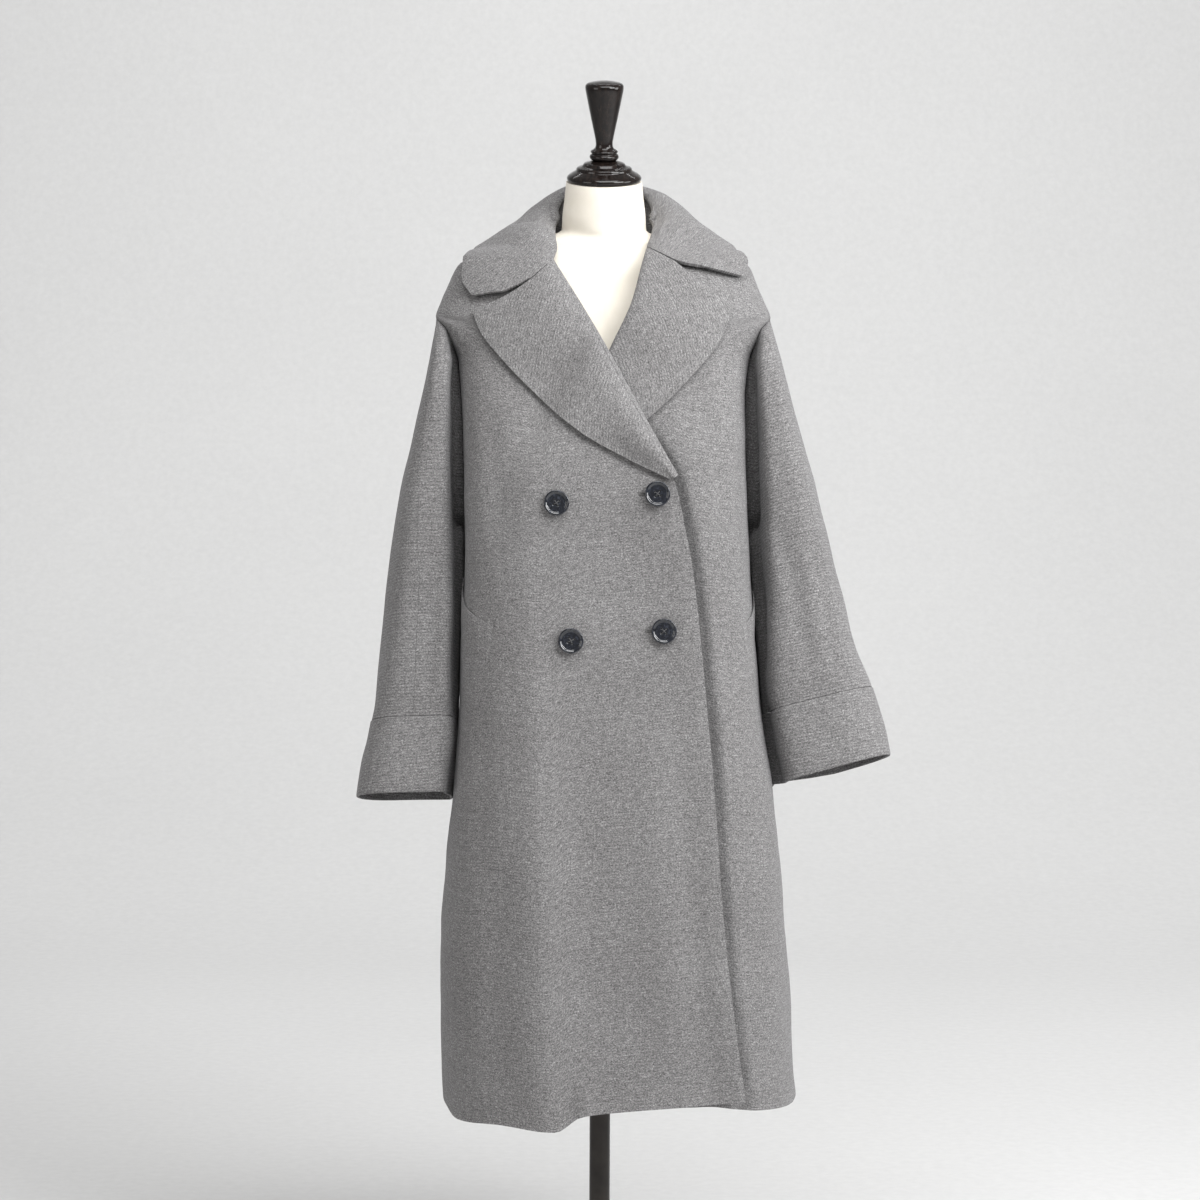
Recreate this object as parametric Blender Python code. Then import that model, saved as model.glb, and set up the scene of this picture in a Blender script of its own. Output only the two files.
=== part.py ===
"""A tent coat on its dress form.

Grey wool, double-breasted, wide revers, dropped sleeves with banded cuffs. The coat hangs from
the form's shoulders; the form stands on a pole and a round base.

Metres, +Z up. The coat's front faces -Y, the wearer's right is at -X and the wearer's left at
+X. The origin is the middle of the base's underside, on the axis of the pole.
"""
from collections import namedtuple
from math import cos, pi, radians, sin

import bpy
import numpy as np

# ---------------------------------------------------------------- driving dimensions
CLOTH = 0.0025          # wall of the single wool cloth
TURNED = 0.004          # wall where two layers are pressed together: revers, collar, welts
SEAM = 0.0005           # space between two pieces that are sewn together
UNDERARM = 1.03         # height of the underarm point
CAP_BASE = 1.24         # height where the sleeve head starts to close over the shoulder
CAP_START = 1.262       # height where the armhole seam leaves the deep side fold
SHOULDER_TIP = 1.294    # height of the dropped shoulder point
BREAK_POINT = 1.0988    # height where the revers start to roll

BodyRow = namedtuple("BodyRow", "height front back right left square_right square_left")
# One row for each level section of the coat: how deep it is in front of and behind the pole,
# how wide to either side of it, and how square its corners are.
BODY = [
    BodyRow(0.290, 0.206, 0.220, 0.1960, 0.2470, 3.0, 3.6),
    BodyRow(0.340, 0.204, 0.214, 0.1990, 0.2415, 3.0, 3.6),
    BodyRow(0.440, 0.199, 0.203, 0.2000, 0.2375, 3.1, 3.7),
    BodyRow(0.520, 0.194, 0.193, 0.1990, 0.2310, 3.3, 3.8),
    BodyRow(0.600, 0.189, 0.184, 0.1960, 0.2255, 3.5, 4.0),
    BodyRow(0.690, 0.182, 0.173, 0.1890, 0.2165, 3.8, 4.2),
    BodyRow(0.780, 0.174, 0.163, 0.1815, 0.2035, 4.2, 4.5),
    BodyRow(0.860, 0.169, 0.156, 0.1790, 0.1965, 4.5, 4.6),
    BodyRow(0.910, 0.166, 0.152, 0.1785, 0.1920, 4.6, 4.6),
    BodyRow(0.966, 0.163, 0.147, 0.1735, 0.1870, 4.6, 4.6),
    BodyRow(1.040, 0.160, 0.143, 0.1745, 0.1835, 4.6, 4.6),
    BodyRow(1.120, 0.150, 0.138, 0.1760, 0.1800, 4.6, 4.6),
    BodyRow(1.190, 0.134, 0.133, 0.1790, 0.1790, 4.3, 4.3),
    BodyRow(1.240, 0.118, 0.127, 0.1840, 0.1845, 3.7, 3.7),
    BodyRow(1.262, 0.112, 0.1245, 0.1895, 0.1900, 3.4, 3.4),
    BodyRow(1.276, 0.108, 0.123, 0.1975, 0.1975, 3.1, 3.1),
    BodyRow(1.286, 0.105, 0.122, 0.2060, 0.2055, 2.9, 2.9),
    BodyRow(1.294, 0.103, 0.121, 0.2115, 0.2110, 2.8, 2.8),
    BodyRow(1.316, 0.095, 0.115, 0.2055, 0.2035, 2.7, 2.7),
    BodyRow(1.334, 0.088, 0.110, 0.1975, 0.1955, 2.6, 2.6),
    BodyRow(1.350, 0.080, 0.105, 0.1905, 0.1895, 2.5, 2.5),
    BodyRow(1.361, 0.073, 0.100, 0.1835, 0.1835, 2.4, 2.4),
    BodyRow(1.367, 0.069, 0.098, 0.1740, 0.1740, 2.4, 2.4),
    BodyRow(1.372, 0.064, 0.095, 0.1620, 0.1620, 2.3, 2.3),
    BodyRow(1.380, 0.054, 0.091, 0.1370, 0.1370, 2.2, 2.2),
    BodyRow(1.388, 0.043, 0.086, 0.1130, 0.1130, 2.1, 2.1),
    BodyRow(1.396, 0.030, 0.080, 0.0880, 0.0880, 2.0, 2.0),
    BodyRow(1.404, 0.013, 0.074, 0.0665, 0.0665, 2.0, 2.0),
]

ArmholeRow = namedtuple("ArmholeRow", "height front back")
# Where the armhole seam lies, in front of and behind the shoulder line.
ARMHOLE = [
    ArmholeRow(1.030, 0.000, 0.000),
    ArmholeRow(1.040, 0.018, 0.020),
    ArmholeRow(1.060, 0.032, 0.040),
    ArmholeRow(1.100, 0.043, 0.060),
    ArmholeRow(1.180, 0.047, 0.073),
    ArmholeRow(1.240, 0.049, 0.075),
    ArmholeRow(1.262, 0.050, 0.073),
    ArmholeRow(1.276, 0.047, 0.065),
    ArmholeRow(1.286, 0.035, 0.045),
    ArmholeRow(1.294, 0.000, 0.000),
]

EdgeRow = namedtuple("EdgeRow", "height right left")
# How far each front reaches across, as a place on X: below the break point its free edge, above
# it the line where the cloth turns into the revers, and above that the neck seam.
FRONT_EDGE = [
    EdgeRow(0.290, 0.1815, -0.046),
    EdgeRow(0.388, 0.1680, -0.049),
    EdgeRow(0.525, 0.1535, -0.053),
    EdgeRow(0.719, 0.1385, -0.059),
    EdgeRow(0.857, 0.1255, -0.065),
    EdgeRow(0.975, 0.1125, -0.071),
    EdgeRow(1.060, 0.0960, -0.075),
    EdgeRow(1.084, 0.0905, -0.070),
    EdgeRow(1.100, 0.0845, -0.0595),
    EdgeRow(1.152, 0.0543, -0.0348),
    EdgeRow(1.207, 0.0233, -0.0078),
    EdgeRow(1.261, -0.0067, 0.0190),
    EdgeRow(1.313, -0.0378, 0.0427),
    EdgeRow(1.363, -0.0690, 0.0560),
    EdgeRow(1.372, -0.0680, 0.0590),
    EdgeRow(1.388, -0.0645, 0.0640),
    EdgeRow(1.404, -0.0640, 0.0640),
]

HemRow = namedtuple("HemRow", "place height")
HEM_RIGHT = [
    HemRow(-0.197, 0.300), HemRow(-0.178, 0.2915), HemRow(-0.123, 0.2965), HemRow(-0.054, 0.2935),
    HemRow(-0.037, 0.302), HemRow(-0.0245, 0.311), HemRow(0.000, 0.3142), HemRow(0.182, 0.328),
]
HEM_LEFT = [HemRow(-0.05, 0.318), HemRow(0.1235, 0.3216), HemRow(0.179, 0.3144), HemRow(0.247, 0.308)]
HEM_BACK = [HemRow(-0.196, 0.300), HemRow(0.0, 0.297), HemRow(0.247, 0.308)]
HEM_LEVEL = 0.300       # level section that the hem's rise and fall is measured from
HEM_REACH = 0.32        # how far up the coat that rise and fall fades out

FoldRow = namedtuple("FoldRow", "top_x top_z low_x low_z half_width top_rise low_rise")
# The coat's largest folds: soft upright ridges that deepen towards the hem.
RIGHT_FOLDS = [FoldRow(-0.105, 1.040, -0.076, 0.29, 0.050, 0.003, 0.014)]
BACK_FOLDS = [
    FoldRow(-0.060, 1.180, -0.095, 0.29, 0.055, 0.002, 0.020),
    FoldRow(0.045, 1.200, 0.070, 0.29, 0.060, 0.002, 0.018),
    FoldRow(0.120, 1.100, 0.170, 0.29, 0.045, 0.001, 0.014),
]

LapRow = namedtuple("LapRow", "height stand_off edge_lift")
# How far the right front stands off the left one, and how much more its free edge lifts.
LAP = [
    LapRow(0.290, 0.0050, 0.0100), LapRow(0.700, 0.0050, 0.0070), LapRow(1.000, 0.0050, 0.0030),
    LapRow(1.085, 0.0100, 0.0), LapRow(1.130, 0.0118, 0.0), LapRow(1.258, 0.0118, 0.0),
    LapRow(1.300, 0.0050, 0.0), LapRow(1.360, 0.0, 0.0),
]
LAP_RAMP = 0.045        # width over which the right front rises onto the left one
LAP_LEAD = 0.014        # that rise is over this far before the left front's edge

SleeveRow = namedtuple("SleeveRow", "height inner outer front back seam lean swing")
# Level sections of the sleeves: how near to and far from the pole they reach, how far in front
# and behind, where the arm seam lies across them, and how their sections tip with the arm.
SLEEVE_RIGHT = [
    SleeveRow(0.687, 0.1950, 0.3090, -0.122, 0.012, 0.46, -0.03, 0.20),
    SleeveRow(0.782, 0.1865, 0.2915, -0.115, 0.022, 0.46, -0.03, 0.20),
    SleeveRow(0.800, 0.1870, 0.2880, -0.115, 0.026, 0.46, -0.03, 0.19),
    SleeveRow(0.840, 0.1875, 0.2845, -0.112, 0.036, 0.46, -0.02, 0.16),
    SleeveRow(0.930, 0.1870, 0.2770, -0.107, 0.062, 0.48, 0.00, 0.08),
    SleeveRow(1.030, 0.1880, 0.2650, -0.103, 0.088, 0.55, 0.00, 0.02),
    SleeveRow(1.090, 0.1895, 0.2535, -0.100, 0.098, 0.62, 0.00, 0.00),
    SleeveRow(1.190, 0.1915, 0.2310, -0.094, 0.104, 0.72, 0.00, 0.00),
    SleeveRow(1.240, 0.1895, 0.2205, -0.086, 0.098, 0.82, 0.00, 0.00),
]
SLEEVE_LEFT = [
    SleeveRow(0.723, 0.2313, 0.3655, -0.122, 0.012, 0.80, 0.28, 0.20),
    SleeveRow(0.810, 0.2135, 0.3420, -0.115, 0.022, 0.79, 0.26, 0.19),
    SleeveRow(0.828, 0.2090, 0.3360, -0.115, 0.028, 0.79, 0.25, 0.17),
    SleeveRow(0.862, 0.2065, 0.3230, -0.112, 0.040, 0.80, 0.22, 0.14),
    SleeveRow(0.935, 0.2065, 0.3060, -0.107, 0.062, 0.81, 0.15, 0.08),
    SleeveRow(1.030, 0.2010, 0.2845, -0.103, 0.088, 0.78, 0.05, 0.02),
    SleeveRow(1.090, 0.1985, 0.2685, -0.100, 0.098, 0.80, 0.00, 0.00),
    SleeveRow(1.190, 0.1940, 0.2395, -0.094, 0.104, 0.86, 0.00, 0.00),
    SleeveRow(1.240, 0.1915, 0.2265, -0.086, 0.098, 0.90, 0.00, 0.00),
]
SLEEVE_SQUARE = 2.5     # how square the sleeve's section is
SLEEVE_JOIN = 0.030     # stretch of sleeve over which it reaches in to the armhole seam
SLEEVE_FREE = 0.050     # how far below the underarm that stretch still shows
SLEEVE_LEVELS = (0.826, 0.870, 0.925, 0.985)      # rows between the cuff and the underarm
CUFF_TOP = {-1: 0.7825, 1: 0.8105}
CUFF_MOUTH = {-1: 0.687, 1: 0.723}
CUFF_SEAM = {-1: 0.0011, 1: 0.0015}               # space between each cuff and its sleeve
CUFF_WALL = 0.003
CAP_STEPS = 4           # rows of the sleeve head, between its level rows and its seam
SEAM_LEAVES = 0.8       # steps along the seam before it starts to leave the deep side fold
SEAM_TURN = 2.2         # steps over which it leaves it
HEAD_BLEND = 3.0        # how late the sleeve head's wall turns to its seam
HEAD_EASE = 4.0         # seam widths that the sleeve head stops short of the armhole
FOLD_EASE = 1.5         # seam widths that it stands outside the panel in the deep side fold

LapelRow = namedtuple("LapelRow", "share width")
# Width of a rever, square to its roll line, from the break point (0) to the neck (1).
LAPEL_WIDTH = [
    LapelRow(0.00, 0.009), LapelRow(0.16, 0.0426), LapelRow(0.35, 0.0775), LapelRow(0.55, 0.1012),
    LapelRow(0.73, 0.1160), LapelRow(0.89, 0.1226), LapelRow(1.00, 0.1180),
]
RollRow = namedtuple("RollRow", "height right left")
ROLL_LINE = [
    RollRow(1.0988, 0.0910, -0.0650), RollRow(1.152, 0.0603, -0.0400),
    RollRow(1.207, 0.0294, -0.0130), RollRow(1.2613, -0.0005, 0.0132),
    RollRow(1.3133, -0.0317, 0.0370), RollRow(1.3640, -0.0640, 0.0505),
    RollRow(1.3800, -0.0740, 0.0555),
]
ROLL_TOP = {-1: 1.3640, 1: 1.3800}

GorgeRow = namedtuple("GorgeRow", "across rever collar")
# The seam between rever and collar and the notch outside it: how far each edge lies up the
# coat from a line square to the roll line, at a distance across from it.
GORGE_RIGHT = [
    GorgeRow(0.0000, 0.0000, 0.0000), GorgeRow(0.0180, -0.0042, -0.0042),
    GorgeRow(0.0330, -0.0074, -0.0072), GorgeRow(0.0685, -0.0098, -0.0050),
    GorgeRow(0.0896, -0.0085, 0.0035), GorgeRow(0.1083, -0.0062, 0.0105),
    GorgeRow(0.1180, -0.0049, 0.0130),
]
GORGE_LEFT = [
    GorgeRow(0.0000, 0.0000, 0.0000), GorgeRow(0.0180, -0.0014, -0.0014),
    GorgeRow(0.0350, -0.0026, -0.0022), GorgeRow(0.0760, -0.0132, 0.0058),
    GorgeRow(0.1206, -0.0059, 0.0136), GorgeRow(0.1221, -0.0055, 0.0140),
]
COLLAR_REACH = {-1: 0.1083, 1: 0.1221}    # length of the collar's front edge, across the roll
ROLL_RADIUS = 0.0045    # radius of the soft roll, to the middle of the cloth
ROLL_TIGHT = 0.0029     # the same where the left rever lies pressed under the right front
PUFF = {-1: 0.009, 1: 0.004}              # how far each rever stands off just inside its roll
REVER_REST = 0.0024     # space between a rever and the front it lies on
REVER_PRESSED = 0.0011  # the same under the right front
COLLAR_REST = 0.0040    # space between the collar and the coat it lies on

CollarRow = namedtuple("CollarRow", "share roll_x roll_y roll_z edge_x edge_y edge_z bulge")
# The collar from the middle of the back (0) to its front end (1), on either side.
COLLAR_RIGHT = [
    CollarRow(0.00, 0.0000, 0.0790, 1.4660, 0.0000, 0.132, 1.345, 0.010),
    CollarRow(0.22, 0.0360, 0.0700, 1.4630, 0.0800, 0.120, 1.350, 0.012),
    CollarRow(0.42, 0.0540, 0.0450, 1.4480, 0.1330, 0.085, 1.366, 0.016),
    CollarRow(0.53, 0.0615, 0.0180, 1.4290, 0.1500, 0.057, 1.375, 0.016),
    CollarRow(0.62, 0.0642, -0.0100, 1.4094, 0.1610, 0.033, 1.379, 0.015),
    CollarRow(0.74, 0.0635, -0.0354, 1.3972, 0.1700, 0.003, 1.373, 0.012),
    CollarRow(0.86, 0.0651, -0.0570, 1.3835, 0.1770, -0.034, 1.355, 0.008),
    CollarRow(0.93, 0.0667, -0.0672, 1.3730, 0.1795, -0.056, 1.336, 0.005),
    CollarRow(1.00, 0.0679, -0.0757, 1.3625, 0.1630, -0.075, 1.319, 0.003),
]
COLLAR_LEFT = [
    CollarRow(0.00, 0.0000, 0.0790, 1.4660, 0.0000, 0.132, 1.345, 0.010),
    CollarRow(0.22, 0.0360, 0.0700, 1.4630, 0.0800, 0.120, 1.350, 0.012),
    CollarRow(0.42, 0.0540, 0.0450, 1.4480, 0.1330, 0.085, 1.368, 0.016),
    CollarRow(0.53, 0.0615, 0.0180, 1.4290, 0.1500, 0.057, 1.378, 0.016),
    CollarRow(0.62, 0.0641, -0.0100, 1.4094, 0.1610, 0.033, 1.383, 0.015),
    CollarRow(0.74, 0.0635, -0.0255, 1.4020, 0.1730, 0.009, 1.378, 0.012),
    CollarRow(0.86, 0.0629, -0.0408, 1.3935, 0.1825, -0.020, 1.366, 0.008),
    CollarRow(0.93, 0.0612, -0.0500, 1.3865, 0.1855, -0.034, 1.357, 0.005),
    CollarRow(1.00, 0.0596, -0.0583, 1.3790, 0.1740, -0.052, 1.3465, 0.003),
]
STAND_END = 0.50        # the collar's stand runs this far round towards the front
STAND_SWEEP = radians(75)

BUTTON_RADIUS = 0.0158
BUTTON_THICKNESS = 0.0048
SHANK_LENGTH = 0.0022
ButtonRow = namedtuple("ButtonRow", "name place height")
BUTTONS = [
    ButtonRow("button_upper_right", -0.0566, 1.0650),
    ButtonRow("button_upper_left", 0.0672, 1.0765),
    ButtonRow("button_lower_right", -0.0385, 0.8960),
    ButtonRow("button_lower_left", 0.0762, 0.9080),
]

WELT_FRONT_X = {-1: 0.136, 1: 0.176}      # the pockets' front ends, from the pole
WELT_BACK_Y = {-1: -0.030, 1: 0.010}      # their back ends, past the side folds
WELT_FRONT_Z = 0.9131
WELT_BACK_Z = 0.9650
WELT_DEPTH = 0.044
WELT_WALL = 0.0024
WELT_STAND_OFF = 0.0008

FormRow = namedtuple("FormRow", "height half front back square")
FORM = [
    FormRow(0.735, 0.120, 0.078, 0.095, 2.1), FormRow(0.740, 0.140, 0.090, 0.108, 2.1),
    FormRow(0.750, 0.150, 0.096, 0.114, 2.1), FormRow(0.790, 0.164, 0.103, 0.124, 2.1),
    FormRow(0.850, 0.162, 0.102, 0.122, 2.1), FormRow(0.930, 0.138, 0.092, 0.100, 2.1),
    FormRow(1.000, 0.121, 0.086, 0.085, 2.1), FormRow(1.080, 0.132, 0.104, 0.088, 2.1),
    FormRow(1.150, 0.148, 0.122, 0.096, 2.1), FormRow(1.210, 0.152, 0.104, 0.104, 2.1),
    FormRow(1.270, 0.158, 0.082, 0.106, 2.2), FormRow(1.310, 0.163, 0.068, 0.094, 2.2),
    FormRow(1.335, 0.165, 0.059, 0.084, 2.2), FormRow(1.352, 0.162, 0.055, 0.076, 2.1),
    FormRow(1.362, 0.152, 0.052, 0.070, 2.0), FormRow(1.372, 0.134, 0.049, 0.065, 1.75),
    FormRow(1.380, 0.1175, 0.0480, 0.061, 1.55), FormRow(1.388, 0.0995, 0.0480, 0.057, 1.38),
    FormRow(1.396, 0.0762, 0.0460, 0.054, 1.19), FormRow(1.404, 0.0535, 0.0485, 0.052, 1.6),
    FormRow(1.425, 0.0525, 0.0485, 0.050, 2.0), FormRow(1.445, 0.0500, 0.0480, 0.048, 2.0),
    FormRow(1.466, 0.0480, 0.0465, 0.0465, 2.0),
]
NECK_BASE = 1.385       # the neck leans forward from here
NECK_TILT = radians(12)
NECK_TOP = 1.466
NECK_BEND = 0.55        # how much of the neck's lean shows on its axis


POLE_RADIUS = 0.01325
BASE_RADIUS = 0.190
BASE_THICKNESS = 0.014
SOCKET_RADIUS = 0.030
SOCKET_HEIGHT = 0.052
JOIN = 0.0003           # space between two pieces of the stand that are screwed together

# ---------------------------------------------------------------- curves and grids


class Through:
    """A smooth curve through named rows that never swings past them."""

    def __init__(self, places, values):
        order = np.argsort(places)
        self.x = np.asarray(places, float)[order]
        self.y = np.asarray(values, float)[order]
        step = np.diff(self.x)
        rise = np.diff(self.y) / step
        self.slope = np.zeros(len(self.x))
        self.slope[0] = rise[0]
        self.slope[-1] = rise[-1]
        for i in range(1, len(self.x) - 1):
            if rise[i - 1] * rise[i] > 0:
                before = 2 * step[i] + step[i - 1]
                after = step[i] + 2 * step[i - 1]
                self.slope[i] = (before + after) / (before / rise[i - 1] + after / rise[i])

    def __call__(self, at):
        at = np.clip(at, self.x[0], self.x[-1])
        i = np.clip(np.searchsorted(self.x, at, side="right") - 1, 0, len(self.x) - 2)
        step = self.x[i + 1] - self.x[i]
        t = (at - self.x[i]) / step
        start = (1 + 2 * t) * (1 - t) ** 2 * self.y[i] + t * (1 - t) ** 2 * step * self.slope[i]
        end = t * t * (3 - 2 * t) * self.y[i + 1] + t * t * (t - 1) * step * self.slope[i + 1]
        return start + end


def read(table):
    """Each named column of a table, as a smooth curve over the table's first column."""
    key = table[0]._fields[0]
    places = [getattr(row, key) for row in table]
    return {name: Through(places, [getattr(row, name) for row in table])
            for name in table[0]._fields[1:]}


def ease(t):
    """0 to 1, with a soft start and a soft end."""
    t = np.clip(t, 0.0, 1.0)
    return t * t * (3 - 2 * t)


def spaced(path, count):
    """The given number of points, evenly spaced along a path of many points."""
    step = np.linalg.norm(np.diff(path, axis=0), axis=1)
    run = np.concatenate([[0.0], np.cumsum(step)])
    at = np.linspace(0.0, run[-1], count)
    return np.stack([np.interp(at, run, path[:, k]) for k in range(path.shape[1])], axis=1)


def unit(vectors):
    return vectors / np.maximum(np.linalg.norm(vectors, axis=-1, keepdims=True), 1e-12)


def grid_normals(grid, towards):
    """The normals of a grid of points, all on the side that faces away from a given point."""
    across = np.gradient(grid, axis=1)
    along = np.gradient(grid, axis=0)
    normal = unit(np.cross(across, along))
    if np.sum(normal * (grid - np.asarray(towards))) < 0:
        normal = -normal
    return normal


body = read(BODY)
armhole = read(ARMHOLE)
front_edge = read(FRONT_EDGE)
lap = read(LAP)
roll_line = read(ROLL_LINE)
lapel_width = read(LAPEL_WIDTH)["width"]
hem = {"right": read(HEM_RIGHT)["height"], "left": read(HEM_LEFT)["height"],
       "back": read(HEM_BACK)["height"]}
sleeve = {-1: read(SLEEVE_RIGHT), 1: read(SLEEVE_LEFT)}
collar = {-1: read(COLLAR_RIGHT), 1: read(COLLAR_LEFT)}
gorge = {-1: read(GORGE_RIGHT), 1: read(GORGE_LEFT)}


# ---------------------------------------------------------------- the coat's outer surface
def half_width(hand, z):
    return body["left" if hand > 0 else "right"](z)


def squareness(hand, z):
    return body["square_left" if hand > 0 else "square_right"](z)


def depth_at(face, x, z):
    """How far the coat's section reaches from the pole's plane, in front (-1) or behind (1)."""
    hand = np.where(np.asarray(x) < 0, -1, 1)
    wide = np.where(hand < 0, body["right"](z), body["left"](z))
    square = np.where(hand < 0, body["square_right"](z), body["square_left"](z))
    reach = body["front"](z) if face < 0 else body["back"](z)
    share = np.clip(np.abs(x) / wide, 0.0, 1.0)
    return reach * (1.0 - share ** square) ** (1.0 / square)


def fold_rise(folds, x, z):
    """How far the soft ridges lift the cloth at a point."""
    rise = 0.0
    for fold in folds:
        down = np.clip((fold.top_z - z) / (fold.top_z - fold.low_z), 0.0, 1.0)
        ridge = fold.top_x + (fold.low_x - fold.top_x) * down
        height = (fold.top_rise + (fold.low_rise - fold.top_rise) * down) * ease(down * 6)
        rise = rise + height * np.exp(-((x - ridge) / fold.half_width) ** 2)
    return rise


def stand_off(x, z):
    """How far the right front lies in front of the left one."""
    ramp = ease((x - front_edge["left"](z) + LAP_RAMP + LAP_LEAD) / LAP_RAMP)
    lift = ease((x - front_edge["right"](z) + LAP_RAMP) / LAP_RAMP) * lap["edge_lift"](z)
    return lap["stand_off"](z) * ramp + lift


def quarter(wide, reach, square, samples=90):
    """A quarter of a level section, as (x, depth) points from the middle to the side."""
    corner = 0.5 ** (1.0 / square)
    run = np.linspace(0.0, corner, samples)
    fall = (1.0 - run ** square) ** (1.0 / square)
    x = np.concatenate([run, fall[::-1][1:]])
    depth = np.concatenate([fall, run[::-1][1:]])
    return np.stack([wide * x, reach * depth], axis=1)


def section_path(face, z, ends, depths):
    """A level section of the coat from one end to the other, as many (x, y) points.

    ends are places on X, or None where the section runs on to a seam at the side; depths are
    then how far in front of or behind the shoulder line that seam lies.
    """
    halves = []
    for hand, end, depth in zip((-1, 1), ends, depths):
        wide = float(half_width(hand, z))
        square = float(squareness(hand, z))
        reach = float(body["front"](z) if face < 0 else body["back"](z))
        path = quarter(wide, reach, square)
        if end is None:
            last = [wide * (1 - (depth / reach) ** square) ** (1 / square), depth]
            path = np.concatenate([path[path[:, 1] > depth], [last]])
        elif end * hand <= 0:
            halves.append(None)
            continue
        else:
            last = [abs(end), reach * (1 - (abs(end) / wide) ** square) ** (1 / square)]
            path = np.concatenate([path[path[:, 0] < abs(end)], [last]])
        halves.append(path * np.array([hand, face]))
    right, left = halves
    if right is None:
        start = [[ends[0], face * float(depth_at(face, ends[0], z))]]
        return np.concatenate([start, left[left[:, 0] > ends[0]]])
    if left is None:
        start = [[ends[1], face * float(depth_at(face, ends[1], z))]]
        return np.concatenate([start, right[right[:, 0] < ends[1]]])[::-1]
    return np.concatenate([right[::-1], left[1:]])


PANEL_ROWS = [
    0.300, 0.380, 0.470, 0.570, 0.680, 0.790, 0.880, 0.960, 1.030, 1.040, 1.060, 1.100,
    1.150, 1.200, 1.240, 1.262, 1.276, 1.286, 1.294, 1.316, 1.334, 1.350, 1.361, 1.372, 1.380,
    1.388, 1.396, 1.4025,
]


def seam_depth(z, face):
    """How far the side seam, armhole seam or shoulder seam lies from the plane y = 0."""
    if z <= UNDERARM or z >= SHOULDER_TIP:
        return SEAM / 2
    return max(float(armhole["front" if face < 0 else "back"](z)), SEAM / 2)


def panel_grid(piece, columns):
    """The outer surface of a body panel, a row of points for each of its level sections."""
    rows = []
    for z in PANEL_ROWS:
        face = 1 if piece == "back" else -1
        ends = [None, None]
        if piece == "right":
            ends[1] = float(front_edge["right"](z))
        if piece == "left":
            ends[0] = float(front_edge["left"](z))
        depths = [seam_depth(z, face)] * 2
        row = spaced(section_path(face, z, ends, depths), columns)
        x, y = row[:, 0], row[:, 1]
        if piece == "right":
            y = y - fold_rise(RIGHT_FOLDS, x, z) - stand_off(x, z)
        if piece == "back":
            y = y + fold_rise(BACK_FOLDS, x, z) * ease((y - 0.02) / 0.08)
        fade = ease((HEM_LEVEL + HEM_REACH - z) / HEM_REACH)
        height = z + (hem[piece](x) - HEM_LEVEL) * fade
        rows.append(np.stack([x, y, height], axis=1))
    return np.array(rows)


def body_gap(points):
    """Roughly how far points lie outside the coat's surface, and the way straight out."""
    def outside(p):
        wide = np.where(p[..., 0] < 0, body["right"](p[..., 2]), body["left"](p[..., 2]))
        square = np.where(p[..., 0] < 0, body["square_right"](p[..., 2]),
                          body["square_left"](p[..., 2]))
        reach = np.where(p[..., 1] < 0, body["front"](p[..., 2]), body["back"](p[..., 2]))
        part = (np.abs(p[..., 0]) / wide) ** square + (np.abs(p[..., 1]) / reach) ** square
        return part ** (1.0 / square) - 1.0

    probe = 2e-4
    slope = np.stack([(outside(points + probe * axis) - outside(points - probe * axis)) / (2 * probe)
                      for axis in np.eye(3)], axis=-1)
    steep = np.maximum(np.linalg.norm(slope, axis=-1), 1e-6)
    return outside(points) / steep, slope / steep[..., None]


def lifted_clear(points, gap):
    """Points that lie nearer to the coat than the gap are moved straight out to it."""
    points = points.copy()
    for _ in range(4):
        distance, way = body_gap(points)
        short = np.clip(gap - distance, 0.0, 0.02)
        points += way * short[..., None]
    return points


# ---------------------------------------------------------------- solids
def material(name, colour, roughness, metallic=0.0):
    made = bpy.data.materials.get(name)
    if made is None:
        made = bpy.data.materials.new(name)
        made.use_nodes = True
        shader = made.node_tree.nodes["Principled BSDF"]
        shader.inputs["Base Color"].default_value = (*colour, 1.0)
        shader.inputs["Roughness"].default_value = roughness
        shader.inputs["Metallic"].default_value = metallic
        made.diffuse_color = (*colour, 1.0)
    return made


WOOL = ("grey_wool", (0.235, 0.230, 0.226), 0.95)
LINEN = ("ivory_linen", (0.80, 0.76, 0.68), 0.85)
HORN = ("dark_button", (0.012, 0.014, 0.020), 0.18)
TURNED_WOOD = ("dark_turned_wood", (0.014, 0.011, 0.010), 0.22)
STEEL = ("dark_pole_metal", (0.035, 0.032, 0.030), 0.35, 0.6)
CAST = ("dark_base_metal", (0.030, 0.028, 0.027), 0.45, 0.4)


def add_object(name, vertices, faces, finish, smooth_angle=50):
    mesh = bpy.data.meshes.new(name)
    mesh.from_pydata([tuple(map(float, v)) for v in vertices], [], faces)
    mesh.shade_smooth()
    mesh.set_sharp_from_angle(angle=radians(smooth_angle))
    thing = bpy.data.objects.new(name, mesh)
    mesh.materials.append(material(*finish))
    bpy.context.scene.collection.objects.link(thing)
    return thing


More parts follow.
